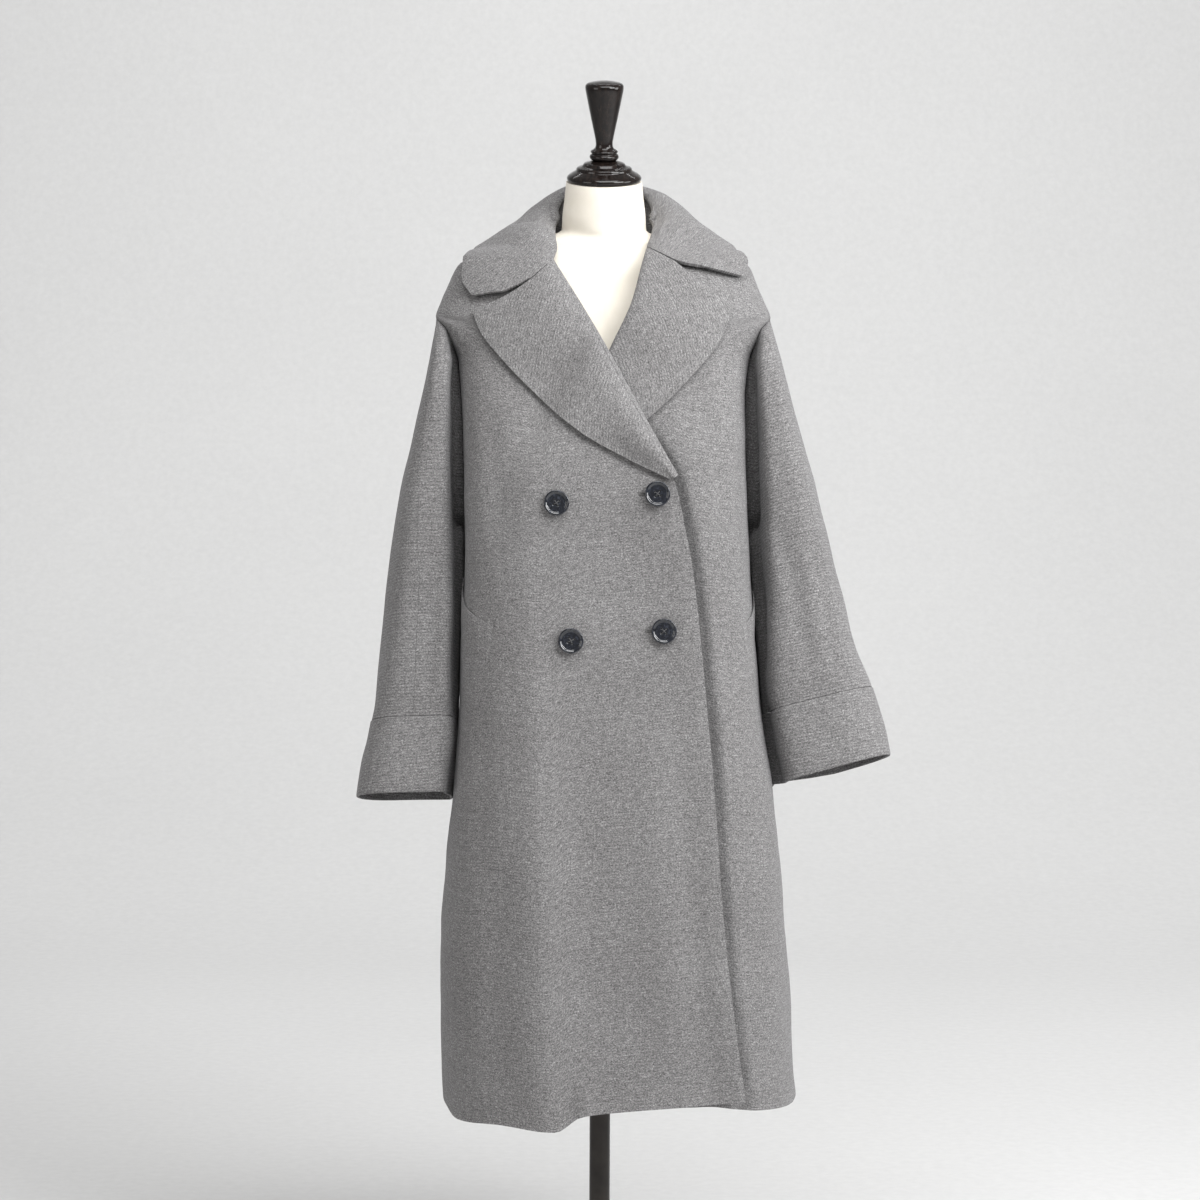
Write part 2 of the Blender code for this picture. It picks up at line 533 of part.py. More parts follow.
def add_wall(name, outer, inner, finish, ring=False):
    """A closed wall between two grids of points; ring joins the last column to the first."""
    rows, columns = outer.shape[:2]
    vertices = np.concatenate([outer.reshape(-1, 3), inner.reshape(-1, 3)])
    back = rows * columns
    spans = columns if ring else columns - 1
    top, end = rows - 1, columns - 1

    def at(row, column, side=0):
        return side * back + row * columns + column % columns

    faces = []
    for r in range(top):
        for c in range(spans):
            faces.append((at(r, c), at(r, c + 1), at(r + 1, c + 1), at(r + 1, c)))
            faces.append((at(r, c, 1), at(r + 1, c, 1), at(r + 1, c + 1, 1), at(r, c + 1, 1)))
    for c in range(spans):
        faces.append((at(0, c + 1), at(0, c), at(0, c, 1), at(0, c + 1, 1)))
        faces.append((at(top, c), at(top, c + 1), at(top, c + 1, 1), at(top, c, 1)))
    if not ring:
        for r in range(top):
            faces.append((at(r, 0), at(r + 1, 0), at(r + 1, 0, 1), at(r, 0, 1)))
            faces.append((at(r + 1, end), at(r, end), at(r, end, 1), at(r + 1, end, 1)))
    turned = np.cross(outer[:-1, 1:] - outer[:-1, :-1], outer[1:, :-1] - outer[:-1, :-1])
    if np.sum(turned * (outer - inner)[:-1, :-1]) < 0:
        faces = [face[::-1] for face in faces]
    return add_object(name, vertices, faces, finish)


def add_turned(name, profile, finish, segments=32, place=None):
    """A solid turned about its own axis from (radius, height) pairs, closed at both ends."""
    vertices = []
    faces = []
    place = place or (lambda point: point)
    for radius, height in profile:
        for k in range(segments):
            turn = 2 * pi * k / segments
            vertices.append(place((radius * cos(turn), radius * sin(turn), height)))
    for r in range(len(profile) - 1):
        for k in range(segments):
            here, there = r * segments + k, r * segments + (k + 1) % segments
            faces.append((here, there, there + segments, here + segments))
    faces.append(tuple(range(segments))[::-1])
    faces.append(tuple(range((len(profile) - 1) * segments, len(profile) * segments)))
    return add_object(name, vertices, faces, finish, 30)


# ---------------------------------------------------------------- body of the coat
def make_body():
    """The fronts and the back; returns each one's outer and inner grid."""
    walls = {}
    for piece, name, columns in (("right", "front_right", 14), ("left", "front_left", 12),
                                 ("back", "back", 17)):
        outer = panel_grid(piece, columns)
        normal = grid_normals(outer, (0, 0, 0.8))
        for r, z in enumerate(PANEL_ROWS):
            if z <= UNDERARM or z >= SHOULDER_TIP:
                for end in (0, -1):
                    if abs(outer[r, end, 1]) <= SEAM:
                        normal[r, end, 1] = 0.0
        inner = outer - CLOTH * unit(normal)
        add_wall(name, outer, inner, WOOL)
        walls[piece] = (outer, inner)
    return walls


def skin_of(walls, hand):
    """Where a front's outer face lies on Y, read from the panel's own grid of points."""
    grid = walls["left" if hand > 0 else "right"][0]
    levels = np.array(PANEL_ROWS)

    def skin(x, z):
        x, z = np.broadcast_arrays(np.asarray(x, float), np.asarray(z, float))
        lines = [np.interp(x, row[np.argsort(row[:, 0]), 0], row[np.argsort(row[:, 0]), 1])
                 for row in grid]
        lines = np.array(lines)
        r = np.clip(np.searchsorted(levels, z) - 1, 0, len(levels) - 2)
        share = np.clip((z - levels[r]) / (levels[r + 1] - levels[r]), 0.0, 1.0)
        low = np.take_along_axis(lines, r[None], 0)[0]
        high = np.take_along_axis(lines, r[None] + 1, 0)[0]
        return low + (high - low) * share

    return skin


# ---------------------------------------------------------------- sleeves and cuffs
def sleeve_ring(hand, height, samples=240):
    """A section of the sleeve from the inner side round the front: angles and points."""
    row = {name: float(curve(height)) for name, curve in sleeve[hand].items()}
    half_x = (row["outer"] - row["inner"]) / 2
    mid_x = (row["outer"] + row["inner"]) / 2
    half_y = (row["back"] - row["front"]) / 2
    mid_y = (row["back"] + row["front"]) / 2
    turn = np.linspace(0.0, 2 * pi, samples)
    power = 2.0 / SLEEVE_SQUARE
    across = np.sign(np.cos(turn)) * np.abs(np.cos(turn)) ** power
    ahead = np.sign(np.sin(turn)) * np.abs(np.sin(turn)) ** power
    x = mid_x - half_x * across
    y = mid_y - half_y * ahead
    z = height + row["lean"] * (x - mid_x) - row["swing"] * (y - mid_y)
    share = 1 - 2 * row["seam"]
    seam = np.arccos(np.sign(share) * abs(share) ** (1 / power))
    return turn, np.stack([hand * x, y, z], axis=1), seam


def armhole_point(hand, z, face):
    """A point of the armhole seam on the sleeve's side of it."""
    z = float(z)
    depth = seam_depth(z, face)
    wide = float(half_width(hand, z))
    square = float(squareness(hand, z))
    reach = float(body["front"](z) if face < 0 else body["back"](z))
    x = wide * (1 - (depth / reach) ** square) ** (1 / square)
    return np.array([hand * (x + SEAM), face * depth, z])


def sleeve_row(hand, height, columns):
    """A row of the sleeve, from the front armhole or underarm seam round to the back one.

    Returned in two halves, which meet at the seam along the arm.
    """
    turn, ring, seam = sleeve_ring(hand, height)
    opened = height > UNDERARM
    halves = []
    for face in (-1, 1):
        if opened:
            depth = seam_depth(height, face)
            quarter = turn <= pi / 2 if face < 0 else turn >= 3 * pi / 2
            order = np.argsort(face * ring[quarter, 1])
            start = np.interp(depth, (face * ring[quarter, 1])[order], turn[quarter][order])
        else:
            start = 0.0 if face < 0 else 2 * pi
        path_turn = np.linspace(start, seam, 200)
        path = np.stack([np.interp(path_turn, turn, ring[:, k]) for k in range(3)], axis=1)
        path = spaced(path, 200)
        run = np.linspace(0, np.sum(np.linalg.norm(np.diff(path, axis=0), axis=1)), 200)
        join = armhole_point(hand, max(height, UNDERARM + 1e-6), face)
        pull = join - path[0]
        pull[2] = 0.0
        if not opened:
            pull[1] = 0.0
        pull *= ease(1 - (UNDERARM - height) / SLEEVE_FREE) if not opened else 1.0
        path = path + pull * (1 - ease(run / SLEEVE_JOIN))[:, None]
        halves.append(spaced(path, columns))
    return halves


def sleeve_walls(hand, columns, walls):
    """Outer and inner grid of the whole sleeve, front half then back half, from the cuff up.

    Also returns how many of its rows lie below the armhole.
    """
    low = CUFF_TOP[hand]
    heights = [low] + [z for z in SLEEVE_LEVELS if z > low + 0.01]
    heights += [z for z in PANEL_ROWS if UNDERARM <= z <= CAP_BASE]
    rows = []
    for z in heights:
        front, back = sleeve_row(hand, z, columns)
        rows.append(np.concatenate([front, back[::-1][1:]]))
    grid = np.array(rows)
    normal = grid_normals(grid, (hand * 0.23, 0.0, 0.95))
    below = sum(z <= UNDERARM for z in heights)
    normal[:below, [0, -1]] = (-hand, 0, 0)
    normal[:below, :, 2] = 0.0
    inner = grid - CLOTH * unit(normal)
    first = PANEL_ROWS.index(CAP_START)
    last = PANEL_ROWS.index(SHOULDER_TIP) + 1
    edge = 0 if hand < 0 else -1
    at = np.linspace(0, last - first - 1, columns)
    spots = np.arange(last - first)
    seams = []
    for side in (0, 1):
        halves = []
        for piece in ("left" if hand > 0 else "right", "back"):
            seam = walls[piece][side][first:last, edge]
            halves.append(np.stack([np.interp(at, spots, seam[:, k]) for k in range(3)], axis=1))
            halves[-1][-1, 1] = 0.0
        seams.append(np.concatenate([halves[0], halves[1][::-1][1:]]))
    butted = ease((np.concatenate([at, at[::-1][1:]]) - SEAM_LEAVES) / SEAM_TURN)[:, None]
    panel_out = unit(seams[0] - seams[1])
    fold_out = np.array([normal[-1, 0]] * columns + [normal[-1, -1]] * (columns - 1))
    tops = [seams[0] + panel_out * SEAM * FOLD_EASE * (1 - butted)]
    tops.append(seams[1] * butted + (tops[0] - unit(fold_out) * CLOTH) * (1 - butted))
    full = []
    away = None
    shares = np.linspace(0, 1, CAP_STEPS + 1)[1:]
    for wall, top in zip((grid, inner), tops):
        base = wall[-1]
        cap = []
        for share in shares:
            rise = (sin(share * pi / 2) + share) / 2
            close = (1 - cos(share * pi / 2) + share) / 2
            cap.append(base + (top - base) * np.array([rise, close, rise]))
        if away is None:
            away = unit(tops[0] - cap[-2])
        cap[-1] = top - away * SEAM * (HEAD_EASE - butted) - np.array([0, 0, SEAM / 3])
        full.append(np.concatenate([wall, cap]))
    square = full[0] - CLOTH * grid_normals(full[0], (hand * 0.19, 0.0, 1.1))
    for k, share in enumerate(shares[:-1]):
        row = len(grid) + k
        blend = (1 - share ** HEAD_BLEND) * (1 - butted)
        full[1][row] += (square[row] - full[1][row]) * blend
    return full[0], full[1], below


def make_sleeve(hand, name, walls):
    columns = 10
    outer, inner, below = sleeve_walls(hand, columns, walls)
    for half, part in (("front", slice(0, columns)), ("back", slice(columns - 1, None))):
        arm, under = (-1, 0) if half == "front" else (0, -1)
        shrunk = []
        for wall in (outer, inner):
            wall = wall[:, part].copy()
            for end, rows in ((arm, slice(None)), (under, slice(0, below))):
                beside = end + 1 if end == 0 else end - 1
                wall[rows, end] += unit(wall[rows, beside] - wall[rows, end]) * SEAM
            shrunk.append(wall)
        add_wall(name + "_" + half, *shrunk, WOOL)


def make_cuff(hand, name):
    rows = []
    for height in (CUFF_MOUTH[hand], CUFF_TOP[hand] - CUFF_SEAM[hand]):
        _, ring, _ = sleeve_ring(hand, height)
        rows.append(spaced(ring, 25)[:-1])
    grid = np.array(rows)
    wrapped = np.concatenate([grid[:, -1:], grid, grid[:, :1]], axis=1)
    middle = grid.reshape(-1, 3).mean(axis=0)
    normal = grid_normals(wrapped, middle)[:, 1:-1]
    normal[..., 2] = 0.0
    add_wall(name, grid, grid - CUFF_WALL * unit(normal), WOOL, ring=True)


# ---------------------------------------------------------------- revers
def roll_frame(hand):
    """The roll line in front view: its foot, its direction, and the way square to it."""
    key = "left" if hand > 0 else "right"
    foot = np.array([float(roll_line[key](BREAK_POINT)), BREAK_POINT])
    head = np.array([float(roll_line[key](ROLL_TOP[hand])), ROLL_TOP[hand]])
    along = (head - foot) / np.linalg.norm(head - foot)
    square = np.array([-along[1], along[0]]) * (1 if hand < 0 else -1)
    return foot, along, square, np.linalg.norm(head - foot)


def lapel_profile(width, puff, tight, count):
    """Across a rever: distance from the roll and height over the front, under side first."""
    radius = ROLL_RADIUS + (ROLL_TIGHT - ROLL_RADIUS) * tight
    turn = np.radians([-90, -30, 30, 90])
    low = -CLOTH / 2
    arc = np.stack([radius * (1 - np.cos(turn)), low + radius * (1 + np.sin(turn))], axis=1)
    top = low + 2 * radius
    rest = TURNED / 2 + REVER_REST + (REVER_PRESSED - REVER_REST) * tight
    t = np.linspace(0, 1, 120)
    leaf_q = radius + (width - radius) * t
    leaf_h = rest + (top - rest) * (1 - t) ** 2 + puff * np.sin(pi * t ** 0.6) * (1 - t) ** 0.4
    leaf = spaced(np.stack([leaf_q, leaf_h], axis=1), count - 3)
    return np.concatenate([arc, leaf[1:]])


def lapel_row(hand, share, skin, width=None, edge="rever", shift=0.0, count=11):
    """One row across a rever, or across the collar where it joins it: points and ways out."""
    foot, along, square, length = roll_frame(hand)
    key = "left" if hand > 0 else "right"
    run = share * length
    height = foot[1] + along[1] * run
    roll_x = float(roll_line[key](height))
    width = width or float(lapel_width(share))
    tight = 0.0 if hand < 0 else 1.0 - float(ease((share - 0.50) / 0.22))
    puff = PUFF[hand] * float(ease(share * 4)) * (1 - tight)
    profile = lapel_profile(width, puff, tight, count)
    q, h = profile[:, 0], profile[:, 1]
    rise = gorge[hand][edge](q) * share ** 6 + shift
    x = roll_x + square[0] * q + along[0] * rise
    z = height + square[1] * q + along[1] * rise
    y = skin(x, z) - h
    slope = np.gradient(profile, axis=0)
    normal = unit(np.stack([slope[:, 1], -slope[:, 0]], axis=1))
    normal[0], normal[3] = (0.0, 1.0), (0.0, -1.0)
    points = np.stack([x, y, z], axis=1)
    ways = np.stack([-square[0] * normal[:, 0], normal[:, 1], -square[1] * normal[:, 0]], axis=1)
    return points, ways


def make_lapel(hand, name, skin):
    rows = [lapel_row(hand, share, skin) for share in np.linspace(0.0, 1.0, 12)]
    middle = np.array([points for points, _ in rows])
    way = np.array([ways for _, ways in rows])
    add_wall(name, middle + way * TURNED / 2, middle - way * TURNED / 2, WOOL)


# ---------------------------------------------------------------- collar
def collar_leaf(rows=23, count=8):
    """The middle of the collar leaf, from the right front end round the neck to the left."""
    t = np.linspace(0, 1, count)
    leaf = []
    swell = []
    for share in np.linspace(-1.0, 1.0, rows):
        hand = -1 if share < 0 else 1
        row = {name: float(curve(abs(share))) for name, curve in collar[hand].items()}
        roll = np.array([hand * row["roll_x"], row["roll_y"], row["roll_z"]])
        edge = np.array([hand * row["edge_x"], row["edge_y"], row["edge_z"]])
        leaf.append(roll + (edge - roll) * t[:, None])
        swell.append(row["bulge"] * np.sin(pi * t ** 0.6))
    leaf = np.array(leaf)
    leaf = leaf + grid_normals(leaf, (0, 0, 1.25)) * np.array(swell)[..., None]
    leaf[:, 1:] = lifted_clear(leaf[:, 1:], TURNED / 2 + COLLAR_REST)
    return leaf


def collar_surface(skins):
    """The middle of the whole collar and its way out: its roll, then its leaf."""
    leaf = collar_leaf()
    normal = grid_normals(leaf, (0, 0, 1.25))
    share = np.abs(np.linspace(-1.0, 1.0, leaf.shape[0]))[:, None]
    _, straight = body_gap(leaf[:, 0])
    laid = ease((share - STAND_END) / 0.10)
    up = unit(normal[:, 0] * (1 - laid) + straight * laid)
    out = leaf[:, 1] - leaf[:, 0]
    out = unit(out - up * np.sum(out * up, axis=1, keepdims=True))
    centre = leaf[:, 0] - up * ROLL_RADIUS
    roll, roll_way = [], []
    for turn in np.radians([-90, -30, 30]):
        way = up * sin(turn) - out * cos(turn)
        roll.append(centre + way * ROLL_RADIUS)
        roll_way.append(way)
    normal[:, 0] = unit(normal[:, 0] + up)
    middle = np.concatenate([np.array(roll).transpose(1, 0, 2), leaf], axis=1)
    way = np.concatenate([np.array(roll_way).transpose(1, 0, 2), normal], axis=1)
    for end, hand in ((0, -1), (-1, 1)):
        points, ways = lapel_row(hand, 1.0, skins[hand], COLLAR_REACH[hand], "collar", 2 * SEAM)
        middle[end], way[end] = points, ways
        beside = 1 if end == 0 else -2
        way[beside] = unit(way[beside] + way[end])
    return middle, way


def make_collar(skins):
    middle, way = collar_surface(skins)
    add_wall("collar", middle + way * TURNED / 2, middle - way * TURNED / 2, WOOL)


def make_collar_stand(skins):
    """The band that holds the collar up, from the neck seam to the turn of the collar."""
    middle, way = collar_surface(skins)
    shares = np.linspace(-1.0, 1.0, middle.shape[0])
    keep = np.abs(shares) <= STAND_END
    top = (middle[:, 0] + way[:, 0] * (TURNED / 2 + 4 * SEAM))[keep]
    turn = shares[keep] / STAND_END * STAND_SWEEP
    level = PANEL_ROWS[-1]
    base = np.stack([half_width(1, level) * np.sin(turn), body["back"](level) * np.cos(turn),
                     np.full(len(turn), level + SEAM)], axis=1)
    grid = np.array([base + (top - base) * t for t in (0.0, 0.5, 1.0)])
    out = grid_normals(grid, (0, 0, 1.43))
    out[..., 2] = 0.0
    add_wall("collar_stand", grid, grid - unit(out) * CLOTH, WOOL)


# ---------------------------------------------------------------- pockets and buttons
def make_welt(hand, name):
    """A pocket welt that runs from the front, round the side fold, on the body's surface."""
    count = 9
    front = section_path(-1, WELT_FRONT_Z, [None, None], [SEAM] * 2)
    back = section_path(1, WELT_FRONT_Z, [None, None], [SEAM] * 2)
    side = np.concatenate([front[front[:, 0] * hand > 0][::hand],
                           back[back[:, 0] * hand > 0][::-hand]])
    side = side[(side[:, 1] > 0) | (np.abs(side[:, 0]) >= WELT_FRONT_X[hand])]
    track = spaced(side[side[:, 1] <= WELT_BACK_Y[hand]], count)
    level = WELT_FRONT_Z + (WELT_BACK_Z - WELT_FRONT_Z) * np.linspace(0, 1, count)
    reach = body["front"](WELT_FRONT_Z)
    rows = []
    for t in (0.0, 1.0):
        z = level - WELT_DEPTH * (1 - t)
        x = track[:, 0] * half_width(hand, z) / half_width(hand, WELT_FRONT_Z)
        y = track[:, 1] * body["front"](z) / reach
        row = np.stack([x, y, z], axis=1)
        rows.append(lifted_clear(row, 2 * SEAM + WELT_STAND_OFF * t ** 2))
    grid = np.array(rows)
    if hand < 0:
        grid[..., 1] -= fold_rise(RIGHT_FOLDS, grid[..., 0], grid[..., 2])
    way = grid_normals(grid, (0, 0, 0.9))
    add_wall(name, grid + way * WELT_WALL, grid, WOOL)


def make_button(row, skin):
    """A dished button with a raised rim, on a short thread shank."""
    x = row.place
    z = row.height
    step = 0.012
    slope_x = (skin(x + step, z) - skin(x - step, z)) / (2 * step)
    slope_z = (skin(x, z + step) - skin(x, z - step)) / (2 * step)
    out = unit(np.array([float(slope_x), -1.0, float(slope_z)]))
    side = unit(np.cross((0, 0, 1), out))
    upward = np.cross(out, side)
    foot = np.array([x, float(skin(x, z)), z]) + out * SEAM

    def place(point):
        return foot + side * point[0] + upward * point[1] + out * point[2]

    r = BUTTON_RADIUS
    top = SHANK_LENGTH + BUTTON_THICKNESS
    profile = [
        (0.0028, 0.0), (0.0028, SHANK_LENGTH), (r * 0.72, SHANK_LENGTH), (r * 0.97, top - 0.0022),
        (r, top - 0.0012), (r * 0.93, top), (r * 0.80, top - 0.0003), (r * 0.66, top - 0.0016),
        (r * 0.20, top - 0.0019),
    ]
    add_turned(row.name, profile, HORN, 22, place)


# ---------------------------------------------------------------- the dress form and its stand
def tilted(point):
    """The neck and all on it lean forward about the neck's base."""
    x, y, z = point
    lean = NECK_TILT * float(ease((z - NECK_BASE) / (NECK_TOP - NECK_BASE)))
    if z <= NECK_BASE:
        return (x, y, z)
    rise = z - NECK_BASE
    return (x, y * cos(lean) - rise * sin(lean) * NECK_BEND,
            NECK_BASE + rise * cos(lean * NECK_BEND) + y * sin(lean))


def on_neck(point):
    """A point given over the middle of the neck's top, square to it."""
    x, y, z = point
    base = tilted((0.0, 0.0, NECK_TOP))
    return (x, base[1] + y * cos(NECK_TILT) - z * sin(NECK_TILT),
            base[2] + y * sin(NECK_TILT) + z * cos(NECK_TILT))


def make_form():
    segments = 36
    vertices = []
    for row in FORM:
        for k in range(segments):
            turn = 2 * pi * k / segments
            power = 2.0 / row.square
            x = row.half * np.sign(sin(turn)) * abs(sin(turn)) ** power
            reach = row.front if cos(turn) > 0 else row.back
            y = -reach * np.sign(cos(turn)) * abs(cos(turn)) ** power
            vertices.append(tilted((x, y, row.height)))
    faces = []
    for r in range(len(FORM) - 1):
        for k in range(segments):
            here, there = r * segments + k, r * segments + (k + 1) % segments
            faces.append((here, there, there + segments, here + segments))
    faces.append(tuple(range(segments))[::-1])
    faces.append(tuple(range((len(FORM) - 1) * segments, len(FORM) * segments)))
    add_object("form_torso", vertices, faces, LINEN, 60)


def make_cap_and_finial():
    cap = [
        (0.0445, 0.0004), (0.0460, 0.0015), (0.0472, 0.0050), (0.0468, 0.0075), (0.0440, 0.0100),
        (0.0395, 0.0130), (0.0350, 0.0150), (0.0335, 0.0185), (0.0270, 0.0205), (0.0255, 0.0240),
        (0.0190, 0.0262), (0.0150, 0.0270),
    ]
    add_turned("neck_cap", cap, TURNED_WOOD, 36, on_neck)
    seat = 0.0274
    finial = [
        (0.0150, seat), (0.0178, seat + 0.0020), (0.0186, seat + 0.0045), (0.0178, seat + 0.0068),
        (0.0160, seat + 0.0080), (0.0172, seat + 0.0100), (0.0166, seat + 0.0122),
        (0.0118, seat + 0.0145), (0.0104, seat + 0.0200), (0.0118, seat + 0.0290),
        (0.0148, seat + 0.0420), (0.0178, seat + 0.0560), (0.0206, seat + 0.0700),
        (0.0228, seat + 0.0810), (0.0243, seat + 0.0890), (0.0242, seat + 0.0930),
        (0.0226, seat + 0.0960), (0.0170, seat + 0.0985), (0.0080, seat + 0.0998),
    ]
    add_turned("finial", finial, TURNED_WOOD, 32, on_neck)


def make_stand():
    top = BASE_THICKNESS
    base = [
        (BASE_RADIUS - 0.003, 0.0), (BASE_RADIUS, 0.003), (BASE_RADIUS, top - 0.005),
        (BASE_RADIUS - 0.004, top - 0.001), (BASE_RADIUS - 0.012, top),
    ]
    add_turned("base", base, CAST, 48)
    foot = top + JOIN
    socket = [
        (SOCKET_RADIUS + 0.008, foot), (SOCKET_RADIUS + 0.008, foot + 0.004),
        (SOCKET_RADIUS, foot + 0.009), (SOCKET_RADIUS - 0.008, foot + SOCKET_HEIGHT - 0.004),
        (SOCKET_RADIUS - 0.010, foot + SOCKET_HEIGHT),
    ]
    add_turned("pole_socket", socket, STEEL, 32)
    start = foot + SOCKET_HEIGHT + JOIN
    end = FORM[0].height - JOIN
    pole = [(POLE_RADIUS, start), (POLE_RADIUS, end)]
    add_turned("pole", pole, STEEL, 28)


def main():
    for thing in list(bpy.data.objects):
        bpy.data.objects.remove(thing, do_unlink=True)
    walls = make_body()
    skins = {-1: skin_of(walls, -1), 1: skin_of(walls, 1)}
    for hand, side in ((-1, "right"), (1, "left")):
        make_sleeve(hand, "sleeve_" + side, walls)
        make_cuff(hand, "cuff_" + side)
        make_lapel(hand, "lapel_" + side, skins[hand])
        make_welt(hand, "pocket_welt_" + side)
    make_collar(skins)
    make_collar_stand(skins)
    for row in BUTTONS:
        make_button(row, skins[-1])
    make_form()
    make_cap_and_finial()
    make_stand()


main()
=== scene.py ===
# %% [markdown]
# # A tent coat on its dress form
#
# The coat is heavy grey wool: two fronts that lap over each other, one back, dropped sleeves cut
# in two halves, banded cuffs, wide revers and a wide collar. It hangs from the shoulders of a
# limbless form on a pole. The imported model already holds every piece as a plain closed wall.
# This lesson makes each piece again, fine enough to show folds, soft edges and nap, in the same
# places, so that the plain wall can be hidden behind it.

# %% Load the frame
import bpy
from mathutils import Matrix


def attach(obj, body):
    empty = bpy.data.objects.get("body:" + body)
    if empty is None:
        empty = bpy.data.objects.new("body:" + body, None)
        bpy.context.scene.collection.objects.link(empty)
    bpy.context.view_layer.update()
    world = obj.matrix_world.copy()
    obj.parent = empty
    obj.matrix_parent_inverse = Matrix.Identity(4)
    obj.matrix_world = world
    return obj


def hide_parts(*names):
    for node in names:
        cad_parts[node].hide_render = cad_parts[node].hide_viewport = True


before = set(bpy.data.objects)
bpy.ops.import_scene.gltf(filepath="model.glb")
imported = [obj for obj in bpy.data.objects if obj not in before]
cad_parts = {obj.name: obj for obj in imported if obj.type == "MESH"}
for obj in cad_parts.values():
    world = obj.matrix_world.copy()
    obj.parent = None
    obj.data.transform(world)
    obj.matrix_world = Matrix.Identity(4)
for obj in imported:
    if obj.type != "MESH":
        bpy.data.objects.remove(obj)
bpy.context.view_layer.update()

# %% The libraries this lesson uses
from collections import namedtuple
from math import cos, pi, radians, sin

import bpy
import numpy as np
from mathutils import Quaternion, Vector
from mathutils.bvhtree import BVHTree

# %% [markdown]
# ## Sizes of the cloth
#
# Wool of this weight is about 2.5 mm thick. Where two layers are pressed together, as in a rever
# or along a hem, it is nearly twice that. The space at most seams is half a millimetre. A finished
# edge is never square: it is rolled over, so every wall gets a small bevel of its own.

# %% Cloth and seams
CLOTH = 0.0025          # wall of the single wool cloth
TURNED = 0.004          # wall where two layers are pressed together: revers and collar
SEAM = 0.0005           # space between two pieces that are sewn together
CUFF_WALL = 0.003
HEM_EXTRA = 0.0016      # how much thicker a turned hem or facing is than the single cloth
HEM_TURN = 0.045        # how far in from the edge that goes
SOFT_EDGE = {CLOTH: 0.0010, TURNED: 0.0017, CUFF_WALL: 0.0013}     # bevel of each wall's rims
print("wall, pressed wall and seam in mm:", CLOTH * 1e3, TURNED * 1e3, SEAM * 1e3)

# %% [markdown]
# ## The body's level sections
#
# A coat like this is easiest to describe as a dressmaker measures it: at a height, how deep is it
# in front and behind, and how wide to each side? A row holds one such measure. Between the rows a
# smooth curve fills in, so few rows are enough and each number has a meaning. The other way, to
# push points about by hand, would be hard to change later.

# %% Heights of the cut
UNDERARM = 1.03         # height of the underarm point
CAP_BASE = 1.24         # height where the sleeve head starts to close over the shoulder
CAP_START = 1.262       # height where the armhole seam leaves the deep side fold
SHOULDER_TIP = 1.294    # height of the dropped shoulder point
BREAK_POINT = 1.0988    # height where the revers start to roll
SHOULDER_TURN = 1.372   # height where the shoulders start to run in to the neck
NECK_LEVEL = 1.4025     # height of the panels' top row
SIDE = {-1: "right", 1: "left"}  # the wearer's sides, by the sign of X
FACE = {-1: "front", 1: "back"}  # the coat's faces, by the sign of Y

# %% Level sections of the body
def measures(kind, *rows):
    """A table of measures: each row gets the named columns of its kind."""
    return [kind(*row) for row in rows]


BodyRow = namedtuple("BodyRow", "height front back right left square_right square_left")
BODY = measures(BodyRow,
    (0.290, 0.206, 0.220, 0.2005, 0.2515, 3.0, 3.6),
    (0.340, 0.204, 0.214, 0.2035, 0.2460, 3.0, 3.6),
    (0.440, 0.199, 0.203, 0.2045, 0.2415, 3.1, 3.7),
    (0.520, 0.194, 0.193, 0.2035, 0.2345, 3.3, 3.8),
    (0.600, 0.189, 0.184, 0.1985, 0.2275, 3.5, 4.0),
    (0.690, 0.182, 0.173, 0.1890, 0.2165, 3.8, 4.2),
    (0.780, 0.174, 0.163, 0.1815, 0.2035, 4.2, 4.5),
    (0.860, 0.169, 0.156, 0.1790, 0.1965, 4.5, 4.6),
    (0.910, 0.166, 0.152, 0.1785, 0.1920, 4.6, 4.6),
    (0.966, 0.163, 0.147, 0.1735, 0.1870, 4.6, 4.6),
    (1.040, 0.160, 0.143, 0.1745, 0.1835, 4.6, 4.6),
    (1.120, 0.150, 0.138, 0.1760, 0.1800, 4.6, 4.6),
    (1.190, 0.134, 0.133, 0.1790, 0.1790, 4.3, 4.3),
    (1.240, 0.118, 0.127, 0.1840, 0.1845, 3.7, 3.7),
    (1.262, 0.112, 0.1245, 0.1895, 0.1900, 3.4, 3.4),
    (1.276, 0.108, 0.123, 0.1975, 0.1975, 3.1, 3.1),
    (1.286, 0.105, 0.122, 0.2060, 0.2055, 2.9, 2.9),
    (1.294, 0.103, 0.121, 0.2115, 0.2110, 2.8, 2.8),
    (1.316, 0.095, 0.115, 0.2055, 0.2035, 2.7, 2.7),
    (1.334, 0.088, 0.110, 0.1975, 0.1955, 2.6, 2.6),
    (1.350, 0.080, 0.105, 0.1905, 0.1895, 2.5, 2.5),
    (1.361, 0.073, 0.100, 0.1835, 0.1835, 2.4, 2.4),
    (1.367, 0.069, 0.098, 0.1740, 0.1740, 2.4, 2.4),
    (1.372, 0.064, 0.095, 0.1620, 0.1620, 2.3, 2.3),
    (1.380, 0.054, 0.091, 0.1370, 0.1370, 2.2, 2.2),
    (1.388, 0.043, 0.086, 0.1130, 0.1130, 2.1, 2.1),
    (1.396, 0.030, 0.080, 0.0880, 0.0880, 2.0, 2.0),
    (1.404, 0.013, 0.074, 0.0665, 0.0665, 2.0, 2.0),
)

